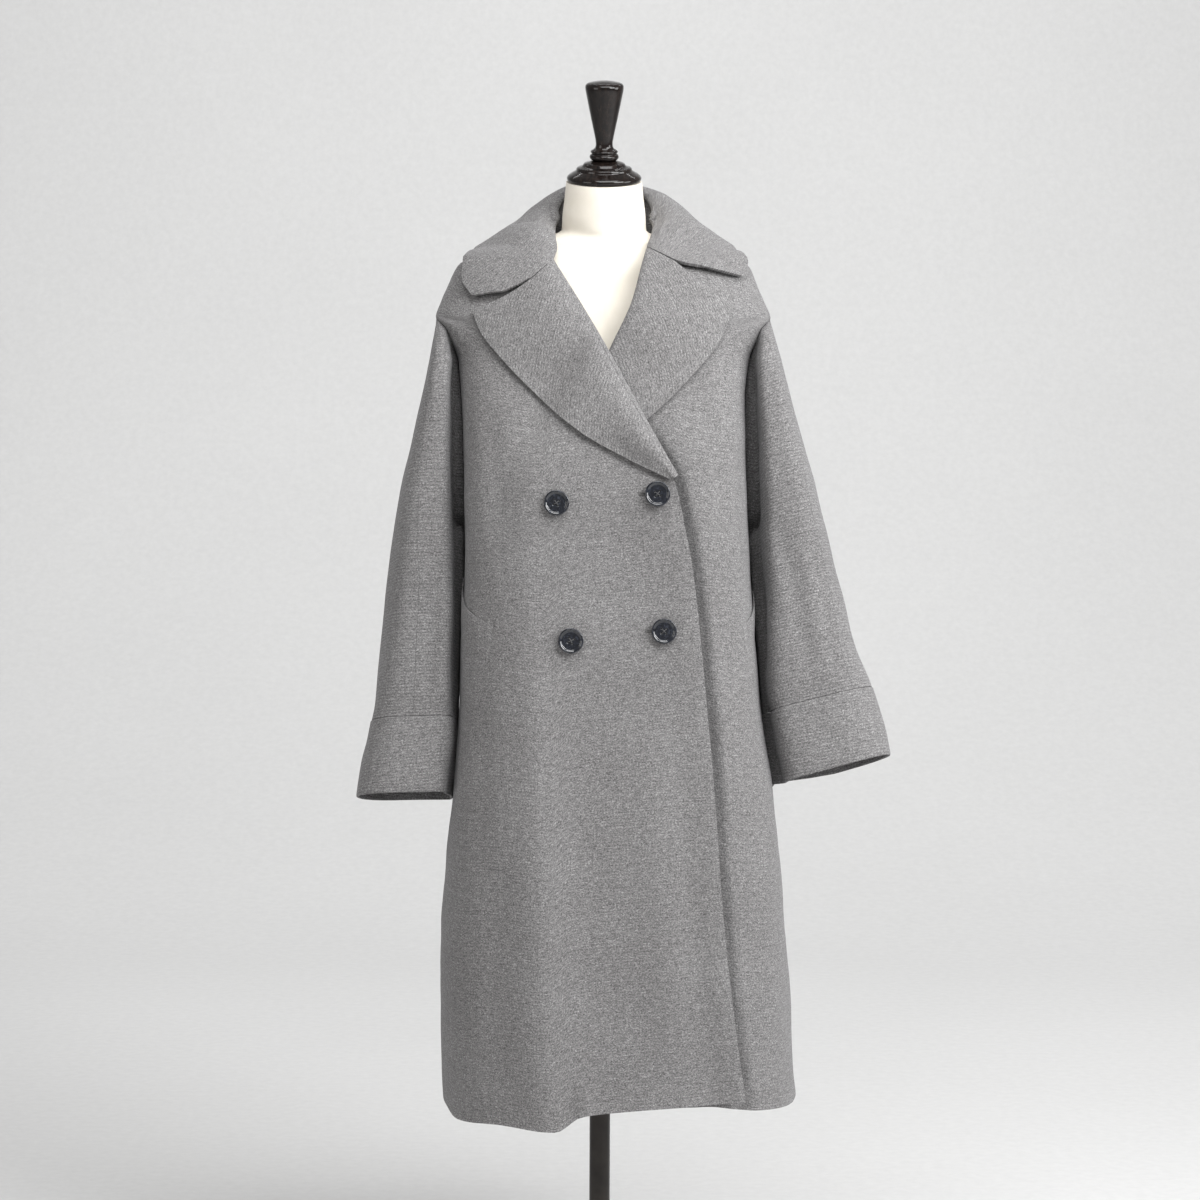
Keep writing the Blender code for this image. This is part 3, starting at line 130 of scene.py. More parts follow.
# %% Armhole, front edges and hem
ArmholeRow = namedtuple("ArmholeRow", "height front back")
ARMHOLE = measures(ArmholeRow,
    (1.030, 0.000, 0.000),
    (1.040, 0.018, 0.020),
    (1.060, 0.024, 0.040),
    (1.100, 0.031, 0.060),
    (1.180, 0.034, 0.073),
    (1.240, 0.039, 0.075),
    (1.262, 0.045, 0.073),
    (1.276, 0.047, 0.065),
    (1.286, 0.035, 0.045),
    (1.294, 0.000, 0.000),
)
EdgeRow = namedtuple("EdgeRow", "height right left")
# How far each front reaches across: its free edge, then the roll of its rever, then the neck.
FRONT_EDGE = measures(EdgeRow,
    (0.290, 0.1815, -0.046),
    (0.388, 0.1680, -0.049),
    (0.525, 0.1535, -0.053),
    (0.719, 0.1385, -0.059),
    (0.857, 0.1255, -0.065),
    (0.975, 0.1125, -0.071),
    (1.060, 0.0960, -0.075),
    (1.084, 0.0905, -0.070),
    (1.100, 0.0845, -0.0595),
    (1.152, 0.0543, -0.0348),
    (1.207, 0.0233, -0.0078),
    (1.261, -0.0067, 0.0190),
    (1.313, -0.0378, 0.0427),
    (1.363, -0.0690, 0.0560),
    (1.372, -0.0680, 0.0590),
    (1.388, -0.0645, 0.0640),
    (1.404, -0.0640, 0.0640),
)
HemRow = namedtuple("HemRow", "place height")
HEM_RIGHT = measures(HemRow,
    (-0.197, 0.300), (-0.178, 0.2915), (-0.123, 0.2965), (-0.054, 0.2935), (-0.037, 0.302),
    (-0.0245, 0.311), (0.000, 0.3142), (0.182, 0.328),
)
HEM_LEFT = measures(HemRow, (-0.05, 0.318), (0.1235, 0.3216), (0.179, 0.3144), (0.247, 0.308))
HEM_BACK = measures(HemRow, (-0.196, 0.300), (0.0, 0.297), (0.247, 0.308))
HEM_LEVEL = 0.300       # level section that the hem's rise and fall is measured from
HEM_REACH = 0.32        # how far up the coat that rise and fall fades out

# %% Largest folds and the lap of the fronts
FoldRow = namedtuple("FoldRow", "top_x top_z low_x low_z half_width top_rise low_rise")
RIGHT_FOLDS = measures(FoldRow, (-0.105, 1.040, -0.076, 0.29, 0.050, 0.003, 0.014))
BACK_FOLDS = measures(FoldRow,
    (-0.060, 1.180, -0.095, 0.29, 0.055, 0.002, 0.020),
    (0.045, 1.200, 0.070, 0.29, 0.060, 0.002, 0.018),
    (0.120, 1.100, 0.170, 0.29, 0.045, 0.001, 0.014),
)
LapRow = namedtuple("LapRow", "height stand_off edge_lift")
LAP = measures(LapRow,
    (0.290, 0.0050, 0.0100), (0.700, 0.0050, 0.0070), (1.000, 0.0050, 0.0030),
    (1.085, 0.0100, 0.0), (1.130, 0.0118, 0.0), (1.258, 0.0118, 0.0), (1.300, 0.0050, 0.0),
    (1.360, 0.0, 0.0),
)
LAP_RAMP = 0.045        # width over which the right front rises onto the left one
LAP_LEAD = 0.014        # that rise is over this far before the left front's edge

# %% [markdown]
# ## Curves and grids
#
# Two small tools do most of the work. One draws a smooth curve through a table's rows without
# swinging past them, which a plain cubic would do. The other spaces points evenly along a path,
# which keeps the weave the same size everywhere.

# %% A smooth curve through rows
class Through:
    """A smooth curve through named rows that never swings past them."""

    def __init__(self, places, values):
        order = np.argsort(places)
        self.x = np.asarray(places, float)[order]
        self.y = np.asarray(values, float)[order]
        step = np.diff(self.x)
        rise = np.diff(self.y) / step
        self.slope = np.zeros(len(self.x))
        self.slope[0] = rise[0]
        self.slope[-1] = rise[-1]
        for i in range(1, len(self.x) - 1):
            if rise[i - 1] * rise[i] > 0:
                before = 2 * step[i] + step[i - 1]
                after = step[i] + 2 * step[i - 1]
                self.slope[i] = (before + after) / (before / rise[i - 1] + after / rise[i])

    def __call__(self, at):
        at = np.clip(at, self.x[0], self.x[-1])
        i = np.clip(np.searchsorted(self.x, at, side="right") - 1, 0, len(self.x) - 2)
        step = self.x[i + 1] - self.x[i]
        t = (at - self.x[i]) / step
        start = (1 + 2 * t) * (1 - t) ** 2 * self.y[i] + t * (1 - t) ** 2 * step * self.slope[i]
        end = t * t * (3 - 2 * t) * self.y[i + 1] + t * t * (t - 1) * step * self.slope[i + 1]
        return start + end


def read(table):
    """Each named column of a table, as a smooth curve over the table's first column."""
    key = table[0]._fields[0]
    places = [getattr(row, key) for row in table]
    return {name: Through(places, [getattr(row, name) for row in table])
            for name in table[0]._fields[1:]}


def read_at(curves, place):
    """All the columns of a table at one place."""
    return {name: float(curve(place)) for name, curve in curves.items()}


# %% Small helpers for shapes
def ease(t):
    """0 to 1, with a soft start and a soft end."""
    t = np.clip(t, 0.0, 1.0)
    return t * t * (3 - 2 * t)


def spaced(path, count):
    """The given number of points, evenly spaced along a path of many points."""
    step = np.linalg.norm(np.diff(path, axis=0), axis=1)
    run = np.concatenate([[0.0], np.cumsum(step)])
    at = np.linspace(0.0, run[-1], count)
    return np.stack([np.interp(at, run, path[:, k]) for k in range(path.shape[1])], axis=1)


def unit(vectors):
    """The same ways, one metre long."""
    return vectors / np.maximum(np.linalg.norm(vectors, axis=-1, keepdims=True), 1e-12)


def squared(value, power):
    """A power that keeps the value's sign, which squares a circle off."""
    return np.sign(value) * np.abs(value) ** power


def grid_normals(grid, towards):
    """The normals of a grid of points, all on the side that faces away from a given point."""
    across = np.gradient(grid, axis=1)
    along = np.gradient(grid, axis=0)
    normal = unit(np.cross(across, along))
    if np.sum(normal * (grid - np.asarray(towards))) < 0:
        normal = -normal
    return normal


body = read(BODY)
armhole = read(ARMHOLE)
front_edge = read(FRONT_EDGE)
lap = read(LAP)
hem = {"right": read(HEM_RIGHT)["height"], "left": read(HEM_LEFT)["height"],
       "back": read(HEM_BACK)["height"]}
print("the hem's middle lies", float(hem["right"](0.0)), "m over the floor")


# %% [markdown]
# ## The surface of the coat
#
# A level section is a rounded box, a superellipse, whose corners get rounder towards the
# shoulders. The right front also has to climb over the left one, so its section is pushed out by
# a ramp. Ridges that deepen towards the hem give the big folds of the tent shape.

# %% Section of the coat
def half_width(hand, z):
    """How far the coat reaches to one side at a height."""
    return body[SIDE[hand]](z)


def squareness(hand, z):
    """How square the corner of its section is on that side."""
    return body["square_" + SIDE[hand]](z)


def by_side(measure, x, z):
    """A measure of the body that isn't the same on both sides, at each point."""
    return np.where(np.asarray(x) < 0, body[measure + "right"](z), body[measure + "left"](z))


def depth_at(face, x, z):
    """How far the coat's section reaches from the pole's plane, in front (-1) or behind (1)."""
    square = by_side("square_", x, z)
    share = np.clip(np.abs(x) / by_side("", x, z), 0.0, 1.0)
    return body[FACE[face]](z) * (1.0 - share ** square) ** (1.0 / square)


def fold_rise(folds, x, z):
    """How far the soft ridges lift the cloth at a point."""
    rise = 0.0
    for fold in folds:
        down = np.clip((fold.top_z - z) / (fold.top_z - fold.low_z), 0.0, 1.0)
        ridge = fold.top_x + (fold.low_x - fold.top_x) * down
        height = (fold.top_rise + (fold.low_rise - fold.top_rise) * down) * ease(down * 6)
        rise = rise + height * np.exp(-((x - ridge) / fold.half_width) ** 2)
    return rise


def stand_off(x, z):
    """How far the right front lies in front of the left one."""
    ramp = ease((x - front_edge["left"](z) + LAP_RAMP + LAP_LEAD) / LAP_RAMP)
    lift = ease((x - front_edge["right"](z) + LAP_RAMP) / LAP_RAMP) * lap["edge_lift"](z)
    return lap["stand_off"](z) * ramp + lift


# %% A row of points round the coat
def quarter(wide, reach, square, samples=90):
    """A quarter of a level section, as (x, depth) points from the middle to the side."""
    corner = 0.5 ** (1.0 / square)
    run = np.linspace(0.0, corner, samples)
    fall = (1.0 - run ** square) ** (1.0 / square)
    x = np.concatenate([run, fall[::-1][1:]])
    depth = np.concatenate([fall, run[::-1][1:]])
    return np.stack([wide * x, reach * depth], axis=1)


def section_path(face, z, ends, depths):
    """A level section of the coat from one end to the other, as many (x, y) points.

    ends are places on X, or None where the section runs on to a seam at the side; depths are
    then how far in front of or behind the shoulder line that seam lies.
    """
    halves = []
    for hand, end, depth in zip((-1, 1), ends, depths):
        wide = float(half_width(hand, z))
        square = float(squareness(hand, z))
        reach = float(body[FACE[face]](z))
        path = quarter(wide, reach, square)
        if end is None:
            last = [wide * (1 - (depth / reach) ** square) ** (1 / square), depth]
            path = np.concatenate([path[path[:, 1] > depth], [last]])
        elif end * hand <= 0:
            halves.append(None)
            continue
        else:
            last = [abs(end), reach * (1 - (abs(end) / wide) ** square) ** (1 / square)]
            path = np.concatenate([path[path[:, 0] < abs(end)], [last]])
        halves.append(path * np.array([hand, face]))
    right, left = halves
    if right is None:
        start = [[ends[0], face * float(depth_at(face, ends[0], z))]]
        return np.concatenate([start, left[left[:, 0] > ends[0]]])
    if left is None:
        start = [[ends[1], face * float(depth_at(face, ends[1], z))]]
        return np.concatenate([start, right[right[:, 0] < ends[1]]])[::-1]
    return np.concatenate([right[::-1], left[1:]])


# %% Rows of the panels, closer together where the shoulders turn
def rows_of_the_body():
    """The heights of the panels' rows, from the hem to the neck."""
    stops = (HEM_LEVEL, UNDERARM, CAP_BASE, CAP_START, SHOULDER_TIP, SHOULDER_TURN, NECK_LEVEL)
    counts = (92, 26, 4, 8, 16, 8)
    rows = []
    for low, high, count in zip(stops, stops[1:], counts):
        rows.extend(np.linspace(low, high, count, endpoint=False).tolist())
    return rows + [stops[-1]]


PANEL_ROWS = rows_of_the_body()
print("rows up a panel:", len(PANEL_ROWS))


def seam_depth(z, face):
    """How far the side seam, armhole seam or shoulder seam lies from the plane y = 0."""
    if z <= UNDERARM or z >= SHOULDER_TIP:
        return SEAM / 2
    return max(float(armhole[FACE[face]](z)), SEAM / 2)


def panel_grid(piece, columns):
    """The outer surface of a body panel, a row of points for each of its level sections."""
    rows = []
    for z in PANEL_ROWS:
        face = 1 if piece == "back" else -1
        ends = [None, None]
        if piece == "right":
            ends[1] = float(front_edge["right"](z))
        if piece == "left":
            ends[0] = float(front_edge["left"](z))
        depths = [seam_depth(z, face)] * 2
        row = spaced(section_path(face, z, ends, depths), columns)
        x, y = row[:, 0], row[:, 1]
        if piece == "right":
            y = y - fold_rise(RIGHT_FOLDS, x, z) - stand_off(x, z)
        if piece == "back":
            y = y + fold_rise(BACK_FOLDS, x, z) * ease((y - 0.02) / 0.08)
        fade = ease((HEM_LEVEL + HEM_REACH - z) / HEM_REACH)
        height = z + (hem[piece](x) - HEM_LEVEL) * fade
        rows.append(np.stack([x, y, height], axis=1))
    return np.array(rows)


# %% How far a point is from the coat
def body_gap(points):
    """Roughly how far points lie outside the coat's surface, and the way straight out."""
    def outside(p):
        x, y, z = p[..., 0], p[..., 1], p[..., 2]
        square = by_side("square_", x, z)
        reach = np.where(y < 0, body["front"](z), body["back"](z))
        part = (np.abs(x) / by_side("", x, z)) ** square + (np.abs(y) / reach) ** square
        return part ** (1.0 / square) - 1.0

    probe = 2e-4
    slope = np.stack([(outside(points + probe * axis) - outside(points - probe * axis)) / (2 * probe)
                      for axis in np.eye(3)], axis=-1)
    steep = np.maximum(np.linalg.norm(slope, axis=-1), 1e-6)
    return outside(points) / steep, slope / steep[..., None]


def lifted_clear(points, gap):
    """Points that lie nearer to the coat than the gap are moved straight out to it."""
    points = points.copy()
    for _ in range(4):
        distance, way = body_gap(points)
        short = np.clip(gap - distance, 0.0, 0.02)
        points += way * short[..., None]
    return points


# %% [markdown]
# ## Creases
#
# Heavy napped wool has few creases, and they are broad and soft: a hand-wide trough where the
# skirt swings in, a shallow ridge beside it, and short marks where a button pulls. Each is a row
# too: where it starts, where it ends, how wide and how deep it is. A trough has a negative
# depth. No two are alike. The hidden side gets its own, of the same kind.
#
# A very slight unrest, a fraction of a millimetre, is added on top, because no cloth that has
# been worn or carried is quite smooth. It is a sum of waves in fixed random directions, which
# costs nothing and is the same at every run.

# %% Crease rows for the body
Crease = namedtuple("Crease", "top top_z low low_z half depth")
BODY_CREASES = {
    "right": measures(Crease,
        (0.0825, 1.0700, 0.1010, 1.0350, 0.0040, -0.0022),
        (0.0450, 1.0600, -0.0300, 1.0000, 0.0200, -0.0016),
        (-0.0300, 0.8700, -0.0120, 0.3600, 0.0360, -0.0032),
        (0.0600, 0.8200, 0.0900, 0.3300, 0.0300, 0.0032),
        (-0.1480, 1.0200, -0.1480, 0.5800, 0.0170, -0.0034),
        (-0.1280, 0.6400, -0.1300, 0.3000, 0.0200, -0.0036),
        (-0.0360, 0.3620, -0.0345, 0.2500, 0.0055, -0.0034),
        (-0.0200, 0.3560, -0.0190, 0.2500, 0.0090, 0.0022),
        (-0.1150, 1.2100, -0.0850, 1.0600, 0.0220, 0.0022),
        (-0.1420, 1.1900, -0.1300, 1.0200, 0.0140, -0.0018),
    ),
    "left": measures(Crease,
        (0.2000, 0.8200, 0.2220, 0.3600, 0.0150, 0.0030),
        (0.1600, 0.7400, 0.1930, 0.3400, 0.0170, -0.0032),
        (0.1480, 1.0400, 0.1660, 0.7900, 0.0200, -0.0022),
        (0.1180, 1.1900, 0.1560, 1.0600, 0.0150, -0.0018),
        (0.1330, 1.2450, 0.1600, 1.1300, 0.0160, 0.0016),
    ),
    "back": measures(Crease,
        (-0.0100, 1.1200, 0.0000, 0.3400, 0.0340, -0.0060),
        (0.0950, 1.1000, 0.1250, 0.3400, 0.0280, -0.0060),
        (-0.1300, 1.0600, -0.1480, 0.3800, 0.0240, -0.0050),
        (0.1700, 0.9500, 0.2080, 0.3600, 0.0200, -0.0040),
        (0.0150, 1.3300, 0.0000, 1.1000, 0.0360, 0.0032),
        (-0.1000, 1.2500, -0.0500, 1.0300, 0.0220, -0.0036),
        (0.1060, 1.2500, 0.0650, 1.0700, 0.0200, -0.0034),
        (-0.1550, 1.2300, -0.1350, 1.0800, 0.0170, -0.0030),
        (0.1550, 1.2300, 0.1400, 1.0600, 0.0180, -0.0034),
    ),
}


# %% Press creases into a grid of points
def creases(table, place, height):
    """How far the cloth is pushed out at each point by a table of creases."""
    push = np.zeros(np.shape(place))
    for crease in table:
        down = (crease.top_z - height) / (crease.top_z - crease.low_z)
        line = crease.top + (crease.low - crease.top) * np.clip(down, 0.0, 1.0)
        shown = ease(down / 0.25) * ease((1.0 - down) / 0.25)
        push = push + crease.depth * shown * np.exp(-((place - line) / crease.half) ** 2)
    return push


def unrest(grid, size, height, seed):
    """The slight unevenness of handled cloth: a sum of waves in fixed random directions."""
    chance = np.random.default_rng(seed)
    total = np.zeros(grid.shape[:2])
    for _ in range(9):
        way = unit(chance.normal(size=3)) * 2 * pi / (size * chance.uniform(0.6, 1.7))
        total += np.sin(grid @ way + chance.uniform(0, 2 * pi))
    return total * height / 3


def lengths_along(grid, axis):
    """For each point of a grid, how far along its row or column it lies."""
    step = np.linalg.norm(np.diff(grid, axis=axis), axis=2)
    run = np.cumsum(step, axis=axis)
    start = np.zeros_like(np.take(run, [0], axis=axis))
    return np.concatenate([start, run], axis=axis)


FAR_OFF = 9.0           # farther in metres than any point of the coat


def away_from_ends(grid, axis, first, last):
    """How far each point is from the ends of its row or column that are asked for."""
    run = lengths_along(grid, axis)
    whole = np.take(run, [-1], axis=axis)
    far = np.full(run.shape, FAR_OFF)
    if first:
        far = np.minimum(far, run)
    if last:
        far = np.minimum(far, whole - run)
    return far


# %% [markdown]
# ## Finishes
#
# The wool is a melange: dark and pale fibres spun together, then brushed. Close up that is a
# mottle one or two millimetres across, with faint lines of the weft under it. Noise makes the
# mottle, and a wave along the weft makes the lines. Both also raise the surface a little, and a
# soft sheen stands for the nap that catches light at the edges.
#
# The weave is placed by a map laid out in metres along each piece, so it keeps its true scale and
# follows the cut of the piece, as real cloth does.

# %% Helpers for finishes
def new_finish(name, roughness, **sockets):
    """A finish with its shader's plain values."""
    made = bpy.data.materials.new(name)
    made.use_nodes = True
    shader = made.node_tree.nodes["Principled BSDF"]
    shader.inputs["Roughness"].default_value = roughness
    for socket, value in sockets.items():
        shader.inputs[socket.replace("_", " ")].default_value = value
    return made, made.node_tree, shader


def add_node(tree, kind, links=(), **settings):
    """A new node: its settings, then its inputs as values or as links from other nodes."""
    made = tree.nodes.new("ShaderNode" + kind)
    for key, value in settings.items():
        setattr(made, key, value)
    for socket, source in dict(links).items():
        if isinstance(source, bpy.types.NodeSocket):
            tree.links.new(source, made.inputs[socket])
        else:
            made.inputs[socket].default_value = source
    return made


def ramp(tree, source, stops):
    """Colours by value, from pairs of a value and a colour."""
    made = add_node(tree, "ValToRGB", {"Fac": source})
    spots = made.color_ramp.elements
    while len(spots) < len(stops):
        spots.new(0.5)
    for spot, (place, colour) in zip(spots, stops):
        spot.position = place
        spot.color = (*colour, 1.0)
    return made.outputs["Color"]


def blend(tree, share, one, other, mode="MIX"):
    """Two colours mixed or multiplied, by a share."""
    made = add_node(tree, "Mix", data_type="RGBA", blend_type=mode)
    for socket, value in ((0, share), (6, one), (7, other)):
        if isinstance(value, bpy.types.NodeSocket):
            tree.links.new(value, made.inputs[socket])
        else:
            made.inputs[socket].default_value = value
    return made.outputs[2]


def maths(tree, what, one, other=0.0):
    """The result of one sum on two values."""
    return add_node(tree, "Math", {0: one, 1: other}, operation=what).outputs[0]


def noise(tree, spot, scale, detail, **more):
    """A cloudy value; more holds the texture's other inputs."""
    inputs = {"Vector": spot, "Scale": scale, "Detail": detail, **more}
    return add_node(tree, "TexNoise", inputs).outputs[0]


def complete(tree, shader, colour, relief=None, rough=None):
    """Joins a finish's colour, relief and changing roughness to its shader.

    relief is a height, its strength and its depth; rough is a value and the roughness at its ends.
    """
    tree.links.new(colour, shader.inputs["Base Color"])
    if rough:
        spread = add_node(tree, "MapRange", dict(zip(("Value", "To Min", "To Max"), rough)))
        tree.links.new(spread.outputs[0], shader.inputs["Roughness"])
    if relief:
        bump = add_node(tree, "Bump", dict(zip(("Height", "Strength", "Distance"), relief)))
        tree.links.new(bump.outputs[0], shader.inputs["Normal"])


# %% Grey melange wool
WOOL_DARK = (0.050, 0.0487, 0.0488)
WOOL_MIDDLE = (0.163, 0.1597, 0.1602)
WOOL_PALE = (0.385, 0.379, 0.3795)
WEFT_PERIOD = 0.0040    # distance between two ribs of the weave
WAVE_TURNS = 0.314      # scale at which the wave texture repeats once a metre


def wool_finish(name, turn, ribbed):
    """Brushed wool; turn lays the weft across the piece, ribbed is how plainly it shows."""
    made, tree, shader = new_finish(name, 0.95, Sheen_Weight=0.16, Sheen_Roughness=0.45,
                                    Sheen_Tint=(0.82, 0.82, 0.84, 1.0), IOR=1.35)
    spot = add_node(tree, "UVMap", uv_map="cloth").outputs[0]
    laid = add_node(tree, "Mapping", {"Vector": spot, "Rotation": (0, 0, turn)}).outputs[0]
    drawn = add_node(tree, "Mapping", {"Vector": laid, "Scale": (0.78, 1.0, 1.0)}).outputs[0]
    fibre = noise(tree, drawn, 620.0, 3.0, Roughness=0.75, Distortion=0.5)
    tuft = noise(tree, drawn, 150.0, 2.0, Roughness=0.60)
    cloud = noise(tree, laid, 9.0, 2.0)
    weft = add_node(tree, "TexWave", {"Vector": laid, "Scale": WAVE_TURNS / WEFT_PERIOD,
                                      "Distortion": 3.2, "Detail": 2.0, "Detail Scale": 1.6},
                    bands_direction="Y").outputs[1]
    mottle = maths(tree, "ADD", maths(tree, "MULTIPLY", fibre, 0.82),
                   maths(tree, "MULTIPLY", tuft, 0.18))
    colour = ramp(tree, mottle, [(0.32, WOOL_DARK), (0.50, WOOL_MIDDLE), (0.69, WOOL_PALE)])
    lines = ramp(tree, weft, [(0.0, (0.84, 0.84, 0.84)), (1.0, (1.12, 1.12, 1.12))])
    colour = blend(tree, ribbed, colour, blend(tree, 1.0, colour, lines, "MULTIPLY"))
    shade = ramp(tree, cloud, [(0.35, (0.95, 0.945, 0.945)), (0.65, (1.05, 1.05, 1.05))])
    colour = blend(tree, 1.0, colour, shade, "MULTIPLY")
    raised = maths(tree, "ADD", mottle, maths(tree, "MULTIPLY", weft, 0.22 * ribbed))
    complete(tree, shader, colour, (raised, 0.55, 0.0011))
    return made


WOOL = {
    "panel": wool_finish("wool_panel", 0.0, 0.55),
    "sleeve": wool_finish("wool_sleeve", 0.0, 1.0),
    "rever": wool_finish("wool_rever", radians(38), 0.8),
    "collar": wool_finish("wool_collar", radians(30), 0.7),
    "cuff": wool_finish("wool_cuff", radians(4), 0.9),
}
print("wool finishes:", sorted(WOOL))

# %% [markdown]
# ## From two grids to a piece of cloth
#
# A piece of cloth is two sheets of points, its outside and its inside, joined along the rim. That
# gives a real thickness and a clean closed mesh. A bevel rounds the free rims only: at a seam two
# pieces butt against each other, and rounded corners there would open a groove. The map for the
# weave is measured along the sheet and stored with it.

# %% Build a wall of cloth
def own(piece, node):
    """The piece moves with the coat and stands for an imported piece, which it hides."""
    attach(piece, "root")
    if node:
        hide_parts(node)
    return piece


def add_piece(name, vertices, faces, finish, smooth_angle=45, places=None):
    """A mesh piece in the scene; places lay the weave on it, a pair for each of its points."""
    mesh = bpy.data.meshes.new(name)
    mesh.from_pydata([tuple(map(float, v)) for v in vertices], [], faces)
    mesh.materials.append(finish)
    mesh.shade_smooth()
    mesh.set_sharp_from_angle(angle=radians(smooth_angle))
    if places is not None:
        corners = np.empty(len(mesh.loops), int)
        mesh.loops.foreach_get("vertex_index", corners)
        layer = mesh.uv_layers.new(name="cloth")
        layer.data.foreach_set("uv", np.asarray(places, np.float32)[corners].ravel())
    thing = bpy.data.objects.new(name, mesh)
    bpy.context.scene.collection.objects.link(thing)
    return thing


def weave_places(grid):
    """Where each point lies on the flat cloth, in metres from the middle of the piece."""
    across = lengths_along(grid, 1)
    along = lengths_along(grid, 0)
    middle = grid.shape[1] // 2
    across = across - across[:, middle:middle + 1]
    return np.stack([across, along], axis=2).reshape(-1, 2)


def soften_rims(thing, shape, free, width):
    """Rounds the corners along the free rims of a wall; seams keep theirs, so they close up.

    free names the rims: bottom and top are the first and last row, start and end the columns.
    """
    rows, columns = shape
    row, column = np.divmod(np.arange(2 * rows * columns) % (rows * columns), columns)
    side = np.arange(2 * rows * columns) // (rows * columns)
    ends = np.empty(2 * len(thing.data.edges), int)
    thing.data.edges.foreach_get("vertices", ends)
    one, other = ends.reshape(-1, 2).T
    weight = np.zeros(len(one), np.float32)
    rims = {"bottom": row == 0, "top": row == rows - 1,
            "start": column == 0, "end": column == columns - 1}
    for rim in free.split():
        weight[rims[rim][one] & rims[rim][other] & (side[one] == side[other])] = 1.0
    layer = thing.data.attributes.new("bevel_weight_edge", "FLOAT", "EDGE")
    layer.data.foreach_set("value", weight)
    edge = thing.modifiers.new("rolled edge", "BEVEL")
    edge.width = width
    edge.segments = 3
    edge.limit_method = "WEIGHT"


def add_wall(name, outer, inner, finish, free, thickness=CLOTH, ring=False):
    """A closed wall between two grids of points; ring joins the last column to the first."""
    rows, columns = outer.shape[:2]
    vertices = np.concatenate([outer.reshape(-1, 3), inner.reshape(-1, 3)])
    back = rows * columns
    spans = columns if ring else columns - 1
    top, end = rows - 1, columns - 1

    def at(row, column, side=0):
        return side * back + row * columns + column % columns

    faces = []
    for r in range(top):
        for c in range(spans):
            faces.append((at(r, c), at(r, c + 1), at(r + 1, c + 1), at(r + 1, c)))
            faces.append((at(r, c, 1), at(r + 1, c, 1), at(r + 1, c + 1, 1), at(r, c + 1, 1)))
    for c in range(spans):
        faces.append((at(0, c + 1), at(0, c), at(0, c, 1), at(0, c + 1, 1)))
        faces.append((at(top, c), at(top, c + 1), at(top, c + 1, 1), at(top, c, 1)))
    if not ring:
        for r in range(top):
            faces.append((at(r, 0), at(r + 1, 0), at(r + 1, 0, 1), at(r, 0, 1)))
            faces.append((at(r + 1, end), at(r, end), at(r, end, 1), at(r + 1, end, 1)))
    turned = np.cross(outer[:-1, 1:] - outer[:-1, :-1], outer[1:, :-1] - outer[:-1, :-1])
    if np.sum(turned * (outer - inner)[:-1, :-1]) < 0:
        faces = [face[::-1] for face in faces]
    places = weave_places(outer)
    thing = add_piece(name, vertices, faces, finish, 60, np.concatenate([places, places]))
    soften_rims(thing, (rows, columns), free, SOFT_EDGE[thickness])
    return thing


# %% [markdown]
# ## Fronts and back
#
# Each panel is made row by row from the sections above. Its creases go in along the surface's own
# normal and fade out at a seam, so that neighbours still meet. Along the hem and the front edges
# the wall grows thicker, because there the cloth is turned back on itself.

# %% Make the panels
Panel = namedtuple("Panel", "node columns free seed")
PANELS = {
    "right": Panel("front_right", 76, "bottom end", 5),
    "left": Panel("front_left", 64, "bottom start", 4),
    "back": Panel("back", 96, "bottom", 4),
}
COAT_MIDDLE = (0, 0, 0.8)  # a point inside the coat
SEAM_FADE = 0.030       # creases have died out this close to a seam
CREASE_TOP = 1.37       # and at this height, under the collar,
CREASE_TOP_FADE = 0.06  # over this much below it
HOLLOW_DEPTH = 0.010    # the left front falls back this far under the right front's edge
HOLLOW_WIDTH = 0.060    # the hollow reaches this far under the edge
HOLLOW_FADE = 0.035     # and deepens over this width
HOLLOW_TOP = 1.180      # it starts at this height, where the rever's roll stands well off
HOLLOW_TOP_FADE = 0.06  # and deepens over this much below it
HOLLOW_PAST = 0.001     # it is at its deepest up to this far past the edge
HOLLOW_RISE = 0.013     # and comes up again within this width beside it
FILL_DEPTH = 0.009      # the shoulder is filled out this far beside the armhole seam
FILL_WIDTH = 0.055      # within this width of it
FILL_LOW_FADE = 0.025   # over this height above the base of the sleeve head
FILL_OVER = 0.020       # up to this far over the shoulder point
FILL_TOP_FADE = 0.030   # where it dies out over this height
FILL_RIDGE = 0.030      # and less within this of the shoulder's ridge
FILL_WAY = (0.50, 0.82, 0.28)  # which way it goes: aside, ahead or behind, and up


def lap_hollow(x, z):
    """How far the left front falls back under the right front's edge, which stays proud of it."""
    past = x - front_edge["right"](z)
    under = ease((past + HOLLOW_WIDTH) / HOLLOW_FADE) * (1 - ease((past - HOLLOW_PAST) / HOLLOW_RISE))
    return -HOLLOW_DEPTH * under * ease((HOLLOW_TOP - z) / HOLLOW_TOP_FADE)


def shoulder_fill(grid, seams):
    """Fills out the shoulder beside the armhole seam, so the sleeve runs on from it."""
    x, y, z = grid[..., 0], grid[..., 1], grid[..., 2]
    shown = ease((z - CAP_BASE) / FILL_LOW_FADE)
    shown = shown * ease((SHOULDER_TIP + FILL_OVER - z) / FILL_TOP_FADE)
    behind = np.clip(y / FILL_RIDGE, -1.0, 1.0)
    amount = FILL_DEPTH * shown * (1 - ease(seams / FILL_WIDTH)) * np.abs(behind)
    way = np.stack([FILL_WAY[0] * np.sign(x), FILL_WAY[1] * behind, FILL_WAY[2] + 0 * x], axis=2)
    return way * amount[..., None]


